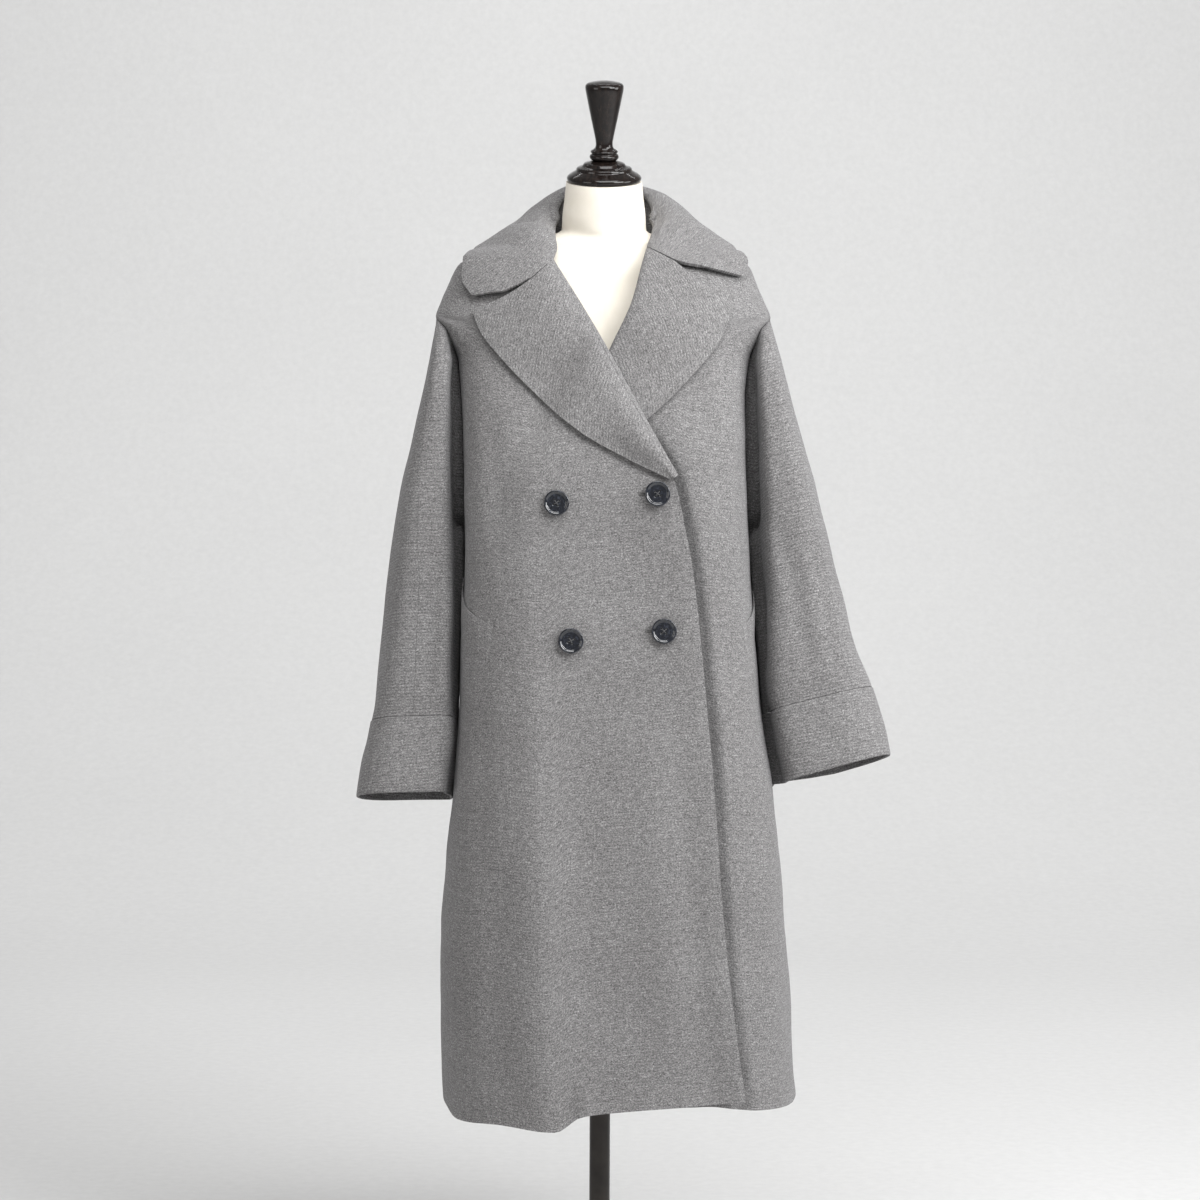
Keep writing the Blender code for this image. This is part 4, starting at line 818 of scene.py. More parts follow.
def shaped_panel(piece, panel):
    """The outer and inner sheet of a panel, creases and turned edges included."""
    grid = panel_grid(piece, panel.columns)
    normal = grid_normals(grid, COAT_MIDDLE)
    seams = away_from_ends(grid, 1, piece != "left", piece != "right")
    push = creases(BODY_CREASES[piece], grid[..., 0], grid[..., 2])
    if piece == "left":
        push = push + lap_hollow(grid[..., 0], grid[..., 2])
    push = push + unrest(grid, 0.10, 0.0006, panel.seed) + unrest(grid, 0.035, 0.00016, 3)
    neck = ease((CREASE_TOP - grid[..., 2]) / CREASE_TOP_FADE)
    outer = grid + normal * (push * ease(seams / SEAM_FADE) * neck)[..., None]
    outer = outer + shoulder_fill(grid, seams)
    normal = grid_normals(outer, COAT_MIDDLE)
    for r, z in enumerate(PANEL_ROWS):
        if z <= UNDERARM or z >= SHOULDER_TIP:
            for end in (0, -1):
                if abs(outer[r, end, 1]) <= SEAM:
                    normal[r, end, 1] = 0.0
    turned = np.minimum(away_from_ends(outer, 0, True, False),
                        away_from_ends(outer, 1, piece == "left", piece == "right"))
    turned[outer[..., 2] > BREAK_POINT - HEM_TURN] = FAR_OFF
    wall = CLOTH + HEM_EXTRA * ease(1.6 - turned / HEM_TURN * 1.6)
    return outer, outer - unit(normal) * wall[..., None]


walls = {}
panels = {}
for piece, panel in PANELS.items():
    walls[piece] = shaped_panel(piece, panel)
    panels[piece] = add_wall(panel.node + "_cloth", *walls[piece], WOOL["panel"], panel.free)
    own(panels[piece], panel.node)


# %% Find a front's face again
def skin_of(walls, hand):
    """Where a front's outer face lies on Y, read from the panel's own grid of points."""
    grid = walls[SIDE[hand]][0]
    levels = np.array(PANEL_ROWS)

    def skin(x, z):
        x, z = np.broadcast_arrays(np.asarray(x, float), np.asarray(z, float))
        sorted_rows = [row[np.argsort(row[:, 0])] for row in grid]
        lines = np.array([np.interp(x, row[:, 0], row[:, 1]) for row in sorted_rows])
        r = np.clip(np.searchsorted(levels, z) - 1, 0, len(levels) - 2)
        share = np.clip((z - levels[r]) / (levels[r + 1] - levels[r]), 0.0, 1.0)
        low = np.take_along_axis(lines, r[None], 0)[0]
        high = np.take_along_axis(lines, r[None] + 1, 0)[0]
        return low + (high - low) * share

    return skin


skins = {hand: skin_of(walls, hand) for hand in SIDE}
print("the right front's face lies at y =", float(skins[-1](0.0, UNDERARM)))

# %% [markdown]
# ## Sleeves
#
# A dropped sleeve has no padded head: it grows out of the body and closes over the shoulder point.
# Its level sections say how near to and far from the body it reaches. The seam along the arm cuts
# it into a front and a back half. The upper rows bend in to meet the armhole seam, and the last
# ones roll over it.

# %% Level sections of the sleeves
SleeveRow = namedtuple("SleeveRow", "height inner outer front back seam lean swing")
SLEEVE_RIGHT = measures(SleeveRow,
    (0.687, 0.1950, 0.3090, -0.122, 0.012, 0.46, -0.03, 0.20),
    (0.782, 0.1865, 0.2915, -0.115, 0.022, 0.46, -0.03, 0.20),
    (0.800, 0.1870, 0.2880, -0.115, 0.026, 0.46, -0.03, 0.19),
    (0.840, 0.1875, 0.2845, -0.112, 0.036, 0.46, -0.02, 0.16),
    (0.930, 0.1870, 0.2770, -0.107, 0.062, 0.48, 0.00, 0.08),
    (1.030, 0.1880, 0.2650, -0.103, 0.088, 0.55, 0.00, 0.02),
    (1.090, 0.1895, 0.2535, -0.100, 0.098, 0.62, 0.00, 0.00),
    (1.190, 0.1915, 0.2310, -0.094, 0.104, 0.72, 0.00, 0.00),
    (1.240, 0.1895, 0.2205, -0.086, 0.098, 0.82, 0.00, 0.00),
)
SLEEVE_LEFT = measures(SleeveRow,
    (0.723, 0.2313, 0.3655, -0.122, 0.012, 0.80, 0.28, 0.20),
    (0.810, 0.2135, 0.3420, -0.115, 0.022, 0.79, 0.26, 0.19),
    (0.828, 0.2090, 0.3360, -0.115, 0.028, 0.79, 0.25, 0.17),
    (0.862, 0.2065, 0.3230, -0.112, 0.040, 0.80, 0.22, 0.14),
    (0.935, 0.2065, 0.3060, -0.107, 0.062, 0.81, 0.15, 0.08),
    (1.030, 0.2010, 0.2845, -0.103, 0.088, 0.78, 0.05, 0.02),
    (1.090, 0.1985, 0.2685, -0.100, 0.098, 0.80, 0.00, 0.00),
    (1.190, 0.1940, 0.2395, -0.094, 0.104, 0.86, 0.00, 0.00),
    (1.240, 0.1915, 0.2265, -0.086, 0.098, 0.90, 0.00, 0.00),
)
SLEEVE_SQUARE = 2.5     # how square the sleeve's section is on its outer side
INNER_SQUARE = 6.0      # and on the side that hangs next to the coat
SLEEVE_JOIN = 0.016     # stretch of sleeve over which it reaches in to the armhole seam
SLEEVE_FREE = 0.050     # how far below the underarm that stretch still shows
CUFF_TOP = {-1: 0.7825, 1: 0.8105}
CUFF_MOUTH = {-1: 0.687, 1: 0.723}
CUFF_SEAM = 0.0006      # space between each cuff and its sleeve
CAP_STEPS = 16          # rows of the sleeve head, between its level rows and its seam
SEAM_LEVELS = (1.262, 1.276, 1.286, 1.294)  # where the armhole seam turns over the shoulder
SEAM_LEAVES = 0.8       # steps of those levels before the seam leaves the deep side fold
SEAM_TURN = 2.2         # steps over which it leaves it
HEAD_EASE = 1.3         # seam widths that the sleeve head stops short of the armhole
FOLD_EASE = 1.0         # seam widths that it stands outside the panel in the deep side fold
ARM_SEAM = 0.00016      # half the space at the seam along the arm
SIDE_REST = 0.0022      # space between the sleeve and the coat's side it hangs against
FOLD_MOUTH = 0.042      # the fold between them is open this far back from the sleeve's front
FOLD_CLOSE = 0.030      # and closes over this much more
sleeve = {-1: read(SLEEVE_RIGHT), 1: read(SLEEVE_LEFT)}

# %% Creases of the sleeves: place is the share of the way round, from the underarm by the front
SLEEVE_CREASES = {
    -1: measures(Crease,
        (0.400, 1.0100, 0.415, 0.7900, 0.0300, -0.0042),
        (0.310, 0.9900, 0.330, 0.7800, 0.0450, 0.0026),
        (0.180, 1.1400, 0.120, 0.9000, 0.0450, -0.0022),
        (0.470, 1.2300, 0.490, 1.0500, 0.0350, -0.0020),
        (0.560, 1.0600, 0.600, 0.8200, 0.0400, -0.0030),
        (0.760, 1.1600, 0.700, 0.8800, 0.0500, -0.0034),
        (0.880, 1.1200, 0.860, 0.9600, 0.0400, 0.0026),
    ),
    1: measures(Crease,
        (0.330, 1.0900, 0.370, 0.8400, 0.0400, -0.0026),
        (0.200, 1.1500, 0.160, 0.9300, 0.0450, 0.0022),
        (0.100, 1.0000, 0.120, 0.8300, 0.0400, -0.0024),
        (0.455, 1.0400, 0.460, 0.8100, 0.0250, -0.0026),
        (0.620, 1.1000, 0.640, 0.8500, 0.0450, -0.0034),
        (0.780, 1.1700, 0.760, 0.9200, 0.0450, -0.0028),
        (0.900, 1.1000, 0.880, 0.9300, 0.0400, 0.0024),
    ),
}


# %% Rings and rows of a sleeve
def sleeve_ring(hand, height, samples=240):
    """A section of the sleeve from the inner side round the front: angles and points."""
    row = read_at(sleeve[hand], height)
    half_x = (row["outer"] - row["inner"]) / 2
    mid_x = (row["outer"] + row["inner"]) / 2
    half_y = (row["back"] - row["front"]) / 2
    mid_y = (row["back"] + row["front"]) / 2
    turn = np.linspace(0.0, 2 * pi, samples)
    power = 2.0 / np.where(np.cos(turn) > 0, INNER_SQUARE, SLEEVE_SQUARE)
    x = mid_x - half_x * squared(np.cos(turn), power)
    y = mid_y - half_y * squared(np.sin(turn), power)
    z = height + row["lean"] * (x - mid_x) - row["swing"] * (y - mid_y)
    share = 1 - 2 * row["seam"]
    seam_power = 2.0 / (INNER_SQUARE if share > 0 else SLEEVE_SQUARE)
    seam = np.arccos(squared(share, 1 / seam_power))
    return turn, np.stack([hand * x, y, z], axis=1), seam


def armhole_point(hand, z, face):
    """A point of the armhole seam on the sleeve's side of it."""
    z = float(z)
    depth = seam_depth(z, face)
    wide = float(half_width(hand, z))
    square = float(squareness(hand, z))
    reach = float(body[FACE[face]](z))
    x = wide * (1 - (depth / reach) ** square) ** (1 / square)
    return np.array([hand * (x + SEAM), face * depth, z])


def hung_against_side(hand, height, path):
    """Behind its front edge the sleeve hangs against the coat's side: one deep dark fold."""
    reach = path[:, 0] * hand
    row = read_at(sleeve[hand], height)
    middle = (row["inner"] + row["outer"]) / 2
    inner = ease((middle - reach) / (middle - row["inner"]) * 1.5)
    behind = ease((path[:, 1] - row["front"] - FOLD_MOUTH) / FOLD_CLOSE)
    shown = ease((UNDERARM + 0.006 - height) / 0.020)
    gap = np.clip(reach - half_width(hand, path[:, 2]) - SIDE_REST, 0.0, 0.030)
    moved = path.copy()
    moved[:, 0] -= hand * gap * inner * behind * shown
    return moved


def sleeve_row(hand, height, columns):
    """A row of the sleeve, from the front armhole or underarm seam round to the back one.

    Returned in two halves, which meet at the seam along the arm.
    """
    turn, ring, seam = sleeve_ring(hand, height)
    opened = height > UNDERARM
    halves = []
    for face in (-1, 1):
        if opened:
            depth = seam_depth(height, face)
            quarter = turn <= pi / 2 if face < 0 else turn >= 3 * pi / 2
            order = np.argsort(face * ring[quarter, 1])
            start = np.interp(depth, (face * ring[quarter, 1])[order], turn[quarter][order])
        else:
            start = 0.0 if face < 0 else 2 * pi
        path_turn = np.linspace(start, seam, 200)
        path = np.stack([np.interp(path_turn, turn, ring[:, k]) for k in range(3)], axis=1)
        path = spaced(path, 200)
        run = np.linspace(0, np.sum(np.linalg.norm(np.diff(path, axis=0), axis=1)), 200)
        join = armhole_point(hand, max(height, UNDERARM + 1e-6), face)
        pull = join - path[0]
        pull[2] = 0.0
        if not opened:
            pull[1] = 0.0
        pull *= ease(1 - (UNDERARM - height) / SLEEVE_FREE) if not opened else 1.0
        path = path + pull * (1 - ease(run / SLEEVE_JOIN))[:, None]
        if not opened:
            path = hung_against_side(hand, height, path)
        halves.append(spaced(path, columns))
    return halves


# %% The sleeve head, rolled over the shoulder
def sleeve_head(hand, columns, grid, inner, normal):
    """The rows that close the sleeve over the shoulder, on its outside and its inside."""
    edge = 0 if hand < 0 else -1
    at = np.linspace(0, len(SEAM_LEVELS) - 1, columns)
    height = np.interp(at, np.arange(len(SEAM_LEVELS)), SEAM_LEVELS)
    seams = []
    for side in (0, 1):
        halves = []
        for piece in (SIDE[hand], "back"):
            seam = walls[piece][side][:, edge]
            halves.append(np.stack([np.interp(height, PANEL_ROWS, seam[:, k]) for k in range(3)],
                                   axis=1))
            halves[-1][-1, 1] = 0.0
        seams.append(np.concatenate([halves[0], halves[1][::-1][1:]]))
    butted = ease((np.concatenate([at, at[::-1][1:]]) - SEAM_LEAVES) / SEAM_TURN)[:, None]
    panel_out = unit(seams[0] - seams[1])
    fold_out = np.array([normal[-1, 0]] * columns + [normal[-1, -1]] * (columns - 1))
    tops = [seams[0] + panel_out * SEAM * FOLD_EASE * (1 - butted)]
    tops.append(seams[1] * butted + (tops[0] - unit(fold_out) * CLOTH) * (1 - butted))
    away = unit((tops[0] - grid[-1]) * np.array([0.5, 1.285, 0.5]))
    heads = []
    for wall, top in zip((grid, inner), tops):
        top = top - away * SEAM * (HEAD_EASE - butted) - np.array([0, 0, SEAM / 3])
        head = []
        for share in np.linspace(0, 1, CAP_STEPS + 1)[1:]:
            rise = (sin(share * pi / 2) + share) / 2
            close = (1 - cos(share * pi / 2) + share) / 2
            head.append(wall[-1] + (top - wall[-1]) * np.array([rise, close, rise]))
        heads.append(np.array(head))
    return heads


# %% Make both halves of each sleeve
def sleeve_sheets(hand, columns):
    """Outer and inner sheet of the whole sleeve, and how many rows lie below the armhole."""
    heights = np.linspace(CUFF_TOP[hand], UNDERARM, 34)[:-1].tolist()
    heights += [z for z in PANEL_ROWS if UNDERARM <= z <= CAP_BASE]
    rows = []
    for z in heights:
        front, back = sleeve_row(hand, z, columns)
        rows.append(np.concatenate([front, back[::-1][1:]]))
    grid = np.array(rows)
    centre = (hand * 0.23, 0.0, 0.95)
    normal = grid_normals(grid, centre)
    share = np.linspace(0, 1, grid.shape[1])[None, :] + np.zeros(grid.shape[:2])
    push = creases(SLEEVE_CREASES[hand], share, grid[..., 2]) + unrest(grid, 0.08, 0.0006, 7)
    ends = ease(away_from_ends(grid, 1, True, True) / SEAM_FADE)
    ends = ends * ease(away_from_ends(grid, 0, True, True) / SEAM_FADE)
    grid = grid + normal * (push * ends)[..., None]
    normal = grid_normals(grid, centre)
    below = sum(z <= UNDERARM for z in heights)
    normal[:below, [0, -1]] = (-hand, 0, 0)
    normal[:below, :, 2] = 0.0
    normal = unit(normal)
    inner = grid - CLOTH * normal
    heads = sleeve_head(hand, columns, grid, inner, normal)
    return np.concatenate([grid, heads[0]]), np.concatenate([inner, heads[1]]), below


def make_sleeve(hand, columns=44):
    """Cuts the sleeve's sheets along the arm and makes each half a piece of its own."""
    outer, inner, below = sleeve_sheets(hand, columns)
    for half, part in (("front", slice(0, columns)), ("back", slice(columns - 1, None))):
        arm, under = (-1, 0) if half == "front" else (0, -1)
        sheets = []
        for sheet in (outer, inner):
            sheet = sheet[:, part].copy()
            for end, rows in ((arm, slice(None)), (under, slice(0, below))):
                beside = end + 1 if end == 0 else end - 1
                sheet[rows, end] += unit(sheet[rows, beside] - sheet[rows, end]) * ARM_SEAM
            sheets.append(sheet)
        node = f"sleeve_{SIDE[hand]}_{half}"
        piece = own(add_wall(node + "_cloth", *sheets, WOOL["sleeve"], ""), node)


for hand in SIDE:
    make_sleeve(hand)

# %% [markdown]
# ## Cuffs
#
# Each cuff is one band of cloth sewn round the sleeve's end. It is a ring, so the last column of
# points joins the first. It swells by a millimetre or two in the middle of its depth, because two
# layers of wool do not lie dead flat, and its mouth is a turned edge.

# %% Make the cuffs
CUFF_SWELL = 0.0013
CUFF_PROUD = 0.0011     # the cuff stands this far outside the sleeve's end
CUFF_ROWS = 18


def make_cuff(hand, columns=150):
    """A ring of cloth round the end of a sleeve, swollen a little between its rims."""
    rows = []
    top = CUFF_TOP[hand] - CUFF_SEAM
    for share in np.linspace(0.0, 1.0, CUFF_ROWS):
        height = CUFF_MOUTH[hand] + (top - CUFF_MOUTH[hand]) * share
        _, ring, _ = sleeve_ring(hand, height)
        rows.append(spaced(hung_against_side(hand, height, ring), columns + 1)[:-1])
    grid = np.array(rows)
    wrapped = np.concatenate([grid[:, -1:], grid, grid[:, :1]], axis=1)
    middle = grid.reshape(-1, 3).mean(axis=0)
    normal = grid_normals(wrapped, middle)[:, 1:-1]
    normal[..., 2] = 0.0
    normal = unit(normal)
    share = np.linspace(0.0, 1.0, CUFF_ROWS)[:, None]
    swell = CUFF_SWELL * np.sin(pi * share) ** 0.6 + unrest(grid, 0.05, 0.0005, 11 + hand)
    swell = CUFF_PROUD + swell * ease((1.0 - share) * 6)
    outer = grid + normal * swell[..., None]
    wall = CUFF_WALL + CUFF_PROUD * (1 - 0.5 * ease(1 - share * 4))
    inner = outer - normal * wall[..., None]
    node = "cuff_" + SIDE[hand]
    piece = add_wall(node + "_cloth", outer, inner, WOOL["cuff"], "bottom top", CUFF_WALL, True)
    own(piece, node)


for hand in SIDE:
    make_cuff(hand)

# %% [markdown]
# ## Revers
#
# A rever is the top of the front turned outwards. Its edge is not pressed flat: it rolls over in
# a soft curve, lies back on the front and ends in a free edge that throws a shadow. Across it, a
# profile gives distance from the roll and height over the front. Along it, the profile changes
# its width from the break point to the neck. It is laid on the front's own face, so it follows
# every fold under it.

# %% Sizes of the revers
LapelRow = namedtuple("LapelRow", "share width")
LAPEL_WIDTH = measures(LapelRow,
    (0.00, 0.009), (0.16, 0.0426), (0.35, 0.0775), (0.55, 0.1012), (0.73, 0.1160), (0.89, 0.1226),
    (1.00, 0.1180),
)
RollRow = namedtuple("RollRow", "height right left")
ROLL_LINE = measures(RollRow,
    (1.0988, 0.0910, -0.0650), (1.152, 0.0603, -0.0400),
    (1.207, 0.0294, -0.0130), (1.2613, -0.0005, 0.0132),
    (1.3133, -0.0317, 0.0370), (1.3640, -0.0640, 0.0505),
    (1.3800, -0.0740, 0.0555),
)
ROLL_TOP = {-1: 1.3640, 1: 1.3800}
GorgeRow = namedtuple("GorgeRow", "across rever collar")
# The seam between rever and collar, and the notch outside it, at a distance across the roll.
GORGE_RIGHT = measures(GorgeRow,
    (0.0000, 0.0000, 0.0000), (0.0180, -0.0042, -0.0042),
    (0.0330, -0.0074, -0.0072), (0.0685, -0.0098, -0.0050),
    (0.0896, -0.0085, 0.0035), (0.1083, -0.0062, 0.0105),
    (0.1180, -0.0049, 0.0130),
)
GORGE_LEFT = measures(GorgeRow,
    (0.0000, 0.0000, 0.0000), (0.0180, -0.0014, -0.0014),
    (0.0350, -0.0026, -0.0022), (0.0760, -0.0132, 0.0058),
    (0.1206, -0.0059, 0.0136), (0.1221, -0.0055, 0.0140),
)
COLLAR_REACH = {-1: 0.1083, 1: 0.1221}    # length of the collar's front edge, across the roll
ROLL_RADIUS = 0.0045    # radius of the soft roll, to the middle of the cloth
ROLL_TIGHT = 0.0029     # the same where the left rever lies pressed under the right front
PUFF = {-1: 0.009, 1: 0.004}  # how far each rever stands off just inside its roll
REVER_REST = 0.0024     # space between a rever and the front it lies on
REVER_PRESSED = 0.0011  # the same under the right front
ARC = 11                # points round the roll
roll_line = read(ROLL_LINE)
lapel_width = read(LAPEL_WIDTH)["width"]
gorge = {-1: read(GORGE_RIGHT), 1: read(GORGE_LEFT)}


# %% A row across a rever
def roll_frame(hand):
    """The roll line in front view: its foot, its direction, and the way square to it."""
    roll = roll_line[SIDE[hand]]
    foot = np.array([float(roll(BREAK_POINT)), BREAK_POINT])
    head = np.array([float(roll(ROLL_TOP[hand])), ROLL_TOP[hand]])
    along = (head - foot) / np.linalg.norm(head - foot)
    square = np.array([-along[1], along[0]]) * (1 if hand < 0 else -1)
    return foot, along, square, np.linalg.norm(head - foot)


def lapel_profile(width, puff, tight, count):
    """Across a rever: distance from the roll and height over the front, under side first."""
    radius = ROLL_RADIUS + (ROLL_TIGHT - ROLL_RADIUS) * tight
    turn = np.radians(np.linspace(-90, 90, ARC))
    low = -CLOTH / 2
    arc = np.stack([radius * (1 - np.cos(turn)), low + radius * (1 + np.sin(turn))], axis=1)
    top = low + 2 * radius
    rest = TURNED / 2 + REVER_REST + (REVER_PRESSED - REVER_REST) * tight
    t = np.linspace(0, 1, 120)
    leaf_q = radius + (width - radius) * t
    leaf_h = rest + (top - rest) * (1 - t) ** 2 + puff * np.sin(pi * t ** 0.6) * (1 - t) ** 0.4
    leaf = spaced(np.stack([leaf_q, leaf_h], axis=1), count - ARC + 1)
    return np.concatenate([arc, leaf[1:]])


def lapel_row(hand, share, skin, width=None, edge="rever", shift=0.0, count=50):
    """One row of points across a rever, or across the collar where it joins it."""
    foot, along, square, length = roll_frame(hand)
    height = foot[1] + along[1] * share * length
    roll_x = float(roll_line[SIDE[hand]](height))
    width = width or float(lapel_width(share))
    tight = 0.0 if hand < 0 else 1.0 - float(ease((share - 0.50) / 0.22))
    puff = PUFF[hand] * float(ease(share * 4)) * (1 - tight)
    profile = lapel_profile(width, puff, tight, count)
    q, h = profile[:, 0], profile[:, 1]
    rise = gorge[hand][edge](q) * share ** 6 + shift
    x = roll_x + square[0] * q + along[0] * rise
    z = height + square[1] * q + along[1] * rise
    return np.stack([x, skin(x, z) - h, z], axis=1)


def outward(grid):
    """The way out of a sheet that starts with a roll: at the roll's top it faces the front."""
    normal = unit(np.cross(np.gradient(grid, axis=1), np.gradient(grid, axis=0)))
    if normal[grid.shape[0] // 2, ARC + 3, 1] > 0:
        normal = -normal
    return normal


# %% Make the revers
def make_lapel(hand):
    """A rever, row by row from its break point up to the gorge seam."""
    rows = [lapel_row(hand, share, skins[hand]) for share in np.linspace(0.0, 1.0, 84)]
    grid = np.array(rows)
    normal = outward(grid)
    calm = ease((away_from_ends(grid, 0, True, True) - 0.004) / SEAM_FADE)
    calm[:, :ARC] = 0.0
    grid = grid + normal * (unrest(grid, 0.07, 0.0007, 5 + hand) * calm)[..., None]
    normal = outward(grid)
    node = "lapel_" + SIDE[hand]
    outer = grid + normal * TURNED / 2
    inner = grid - normal * TURNED / 2
    piece = add_wall(node + "_cloth", outer, inner, WOOL["rever"], "top end", TURNED)
    own(piece, node)


for hand in SIDE:
    make_lapel(hand)

# %% [markdown]
# ## Collar and its stand
#
# The collar is one wide leaf that falls from a roll round the neck. Its rows run from the right
# front end, round the back, to the left one. Each row is a line from roll to edge with some belly,
# lifted clear of the coat below. At both ends it has to meet its rever along the gorge seam, so
# the end row is the rever's own profile, and the last rows ease into it. The stand is the upright
# band inside that holds the roll up.

# %% Sizes of the collar
CollarRow = namedtuple("CollarRow", "share roll_x roll_y roll_z edge_x edge_y edge_z bulge")
# Both sides start with these rows, at the back of the neck.
COLLAR_BACK = (
    (0.00, 0.0000, 0.0790, 1.4660, 0.0000, 0.132, 1.345, 0.010),
    (0.22, 0.0375, 0.0700, 1.4640, 0.0800, 0.120, 1.352, 0.013),
)
COLLAR_RIGHT = measures(CollarRow, *COLLAR_BACK,
    (0.42, 0.0560, 0.0450, 1.4520, 0.1320, 0.085, 1.368, 0.012),
    (0.53, 0.0645, 0.0180, 1.4310, 0.1490, 0.057, 1.379, 0.012),
    (0.62, 0.0680, -0.0100, 1.4110, 0.1590, 0.033, 1.384, 0.014),
    (0.74, 0.0670, -0.0354, 1.3980, 0.1660, 0.003, 1.377, 0.013),
    (0.86, 0.0651, -0.0570, 1.3835, 0.1715, -0.034, 1.357, 0.008),
    (0.93, 0.0667, -0.0672, 1.3730, 0.1755, -0.056, 1.338, 0.005),
    (1.00, 0.0679, -0.0757, 1.3625, 0.1630, -0.075, 1.319, 0.003),
)
COLLAR_LEFT = measures(CollarRow, *COLLAR_BACK,
    (0.42, 0.0580, 0.0450, 1.4520, 0.1360, 0.085, 1.372, 0.018),
    (0.53, 0.0655, 0.0180, 1.4320, 0.1530, 0.057, 1.383, 0.019),
    (0.62, 0.0685, -0.0100, 1.4120, 0.1615, 0.033, 1.387, 0.018),
    (0.74, 0.0665, -0.0255, 1.4030, 0.1670, 0.009, 1.380, 0.014),
    (0.86, 0.0635, -0.0408, 1.3935, 0.1730, -0.020, 1.364, 0.008),
    (0.93, 0.0612, -0.0500, 1.3865, 0.1760, -0.034, 1.355, 0.006),
    (1.00, 0.0596, -0.0583, 1.3790, 0.1740, -0.052, 1.3465, 0.003),
)
COLLAR_REST = 0.0040    # space between the collar and the coat it lies on
STAND_END = 0.50        # the collar's stand runs this far round towards the front
STAND_SWEEP = radians(75)
COLLAR_LEAF = 34        # points from the roll to the edge
END_EASE = 0.16         # share of the collar over which it eases into its end row
NOTCH_LIFT = 0.0050     # the collar's free front edge stands off the rever this much more
NOTCH_START = 0.034     # from this far along the seam
NOTCH_FADE = 0.040      # and fully so this much farther on
NECK_MIDDLE = (0, 0, 1.25)  # a point inside the neck
collar = {-1: read(COLLAR_RIGHT), 1: read(COLLAR_LEFT)}


# %% The leaf and the roll of the collar
def collar_leaf(rows, count):
    """The middle of the collar leaf, from the right front end round the neck to the left."""
    t = np.linspace(0, 1, count)
    leaf = []
    swell = []
    for share in np.linspace(-1.0, 1.0, rows):
        hand = -1 if share < 0 else 1
        row = read_at(collar[hand], abs(share))
        roll = np.array([hand * row["roll_x"], row["roll_y"], row["roll_z"]])
        edge = np.array([hand * row["edge_x"], row["edge_y"], row["edge_z"]])
        leaf.append(roll + (edge - roll) * t[:, None])
        swell.append(row["bulge"] * np.sin(pi * t ** 0.6))
    leaf = np.array(leaf)
    leaf = leaf + grid_normals(leaf, NECK_MIDDLE) * np.array(swell)[..., None]
    leaf[:, 1:] = lifted_clear(leaf[:, 1:], TURNED / 2 + COLLAR_REST)
    return leaf


def collar_sheet(rows=151):
    """The middle of the whole collar, its roll first and then its leaf."""
    leaf = collar_leaf(rows, COLLAR_LEAF)
    normal = grid_normals(leaf, NECK_MIDDLE)
    share = np.abs(np.linspace(-1.0, 1.0, rows))[:, None]
    _, straight = body_gap(leaf[:, 0])
    laid = ease((share - STAND_END) / 0.10)
    up = unit(normal[:, 0] * (1 - laid) + straight * laid)
    out = leaf[:, 4] - leaf[:, 0]
    out = unit(out - up * np.sum(out * up, axis=1, keepdims=True))
    centre = leaf[:, 0] - up * ROLL_RADIUS
    roll = []
    for turn in np.radians(np.linspace(-90, 90, ARC))[:-1]:
        roll.append(centre + (up * sin(turn) - out * cos(turn)) * ROLL_RADIUS)
    middle = np.concatenate([np.array(roll).transpose(1, 0, 2), leaf], axis=1)
    count = middle.shape[1]
    for end, hand in ((0, -1), (-1, 1)):
        last = lapel_row(hand, 1.0, skins[hand], COLLAR_REACH[hand], "collar", 2 * SEAM, count)
        free = np.linalg.norm(last - last[ARC], axis=1) - NOTCH_START
        last[:, 1] -= NOTCH_LIFT * ease(free / NOTCH_FADE)
        near = ease((share - 1 + END_EASE) / END_EASE)
        side = (np.linspace(-1.0, 1.0, rows) * hand > 0)[:, None]
        move = last - middle[end]
        middle = middle + move[None] * (near * side)[..., None]
    return middle


def collar_way(middle):
    """The way out of the collar: at the back of the neck its leaf faces backwards."""
    normal = unit(np.cross(np.gradient(middle, axis=1), np.gradient(middle, axis=0)))
    if normal[middle.shape[0] // 2, -8, 1] < 0:
        normal = -normal
    return normal


# %% Make the collar
COLLAR_DENTS = measures(Crease,
    # place is the share round the neck, height the share from the roll to the edge
    (-0.640, 0.10, -0.600, 0.50, 0.036, -0.0028),
    (-0.450, 0.20, -0.380, 0.90, 0.060, 0.0022),
    (0.520, 0.15, 0.560, 0.90, 0.070, -0.0022),
    (0.160, 0.20, 0.220, 1.00, 0.060, -0.0028),
    (-0.120, 0.20, -0.160, 1.00, 0.055, -0.0020),
)


def make_collar():
    """The whole collar, with its dents pressed in."""
    middle = collar_sheet()
    rows, count = middle.shape[:2]
    round_neck = np.linspace(-1, 1, rows)[:, None] + np.zeros((rows, count))
    down = np.clip((np.arange(count) - ARC + 1) / (COLLAR_LEAF - 1), 0, 1)[None, :]
    down = down + np.zeros((rows, count))
    table = [Crease(c.top, 1 - c.top_z, c.low, 1 - c.low_z, c.half, c.depth)
             for c in COLLAR_DENTS]
    push = creases(table, round_neck, 1 - down)
    push += unrest(middle, 0.06, 0.0007, 21) * ease(down * 5)
    push *= ease(away_from_ends(middle, 0, True, True) / SEAM_FADE)
    middle = middle + collar_way(middle) * push[..., None]
    way = collar_way(middle)
    outer = middle + way * TURNED / 2
    inner = middle - way * TURNED / 2
    piece = add_wall("collar_cloth", outer, inner, WOOL["collar"], "bottom top end", TURNED)
    own(piece, "collar")


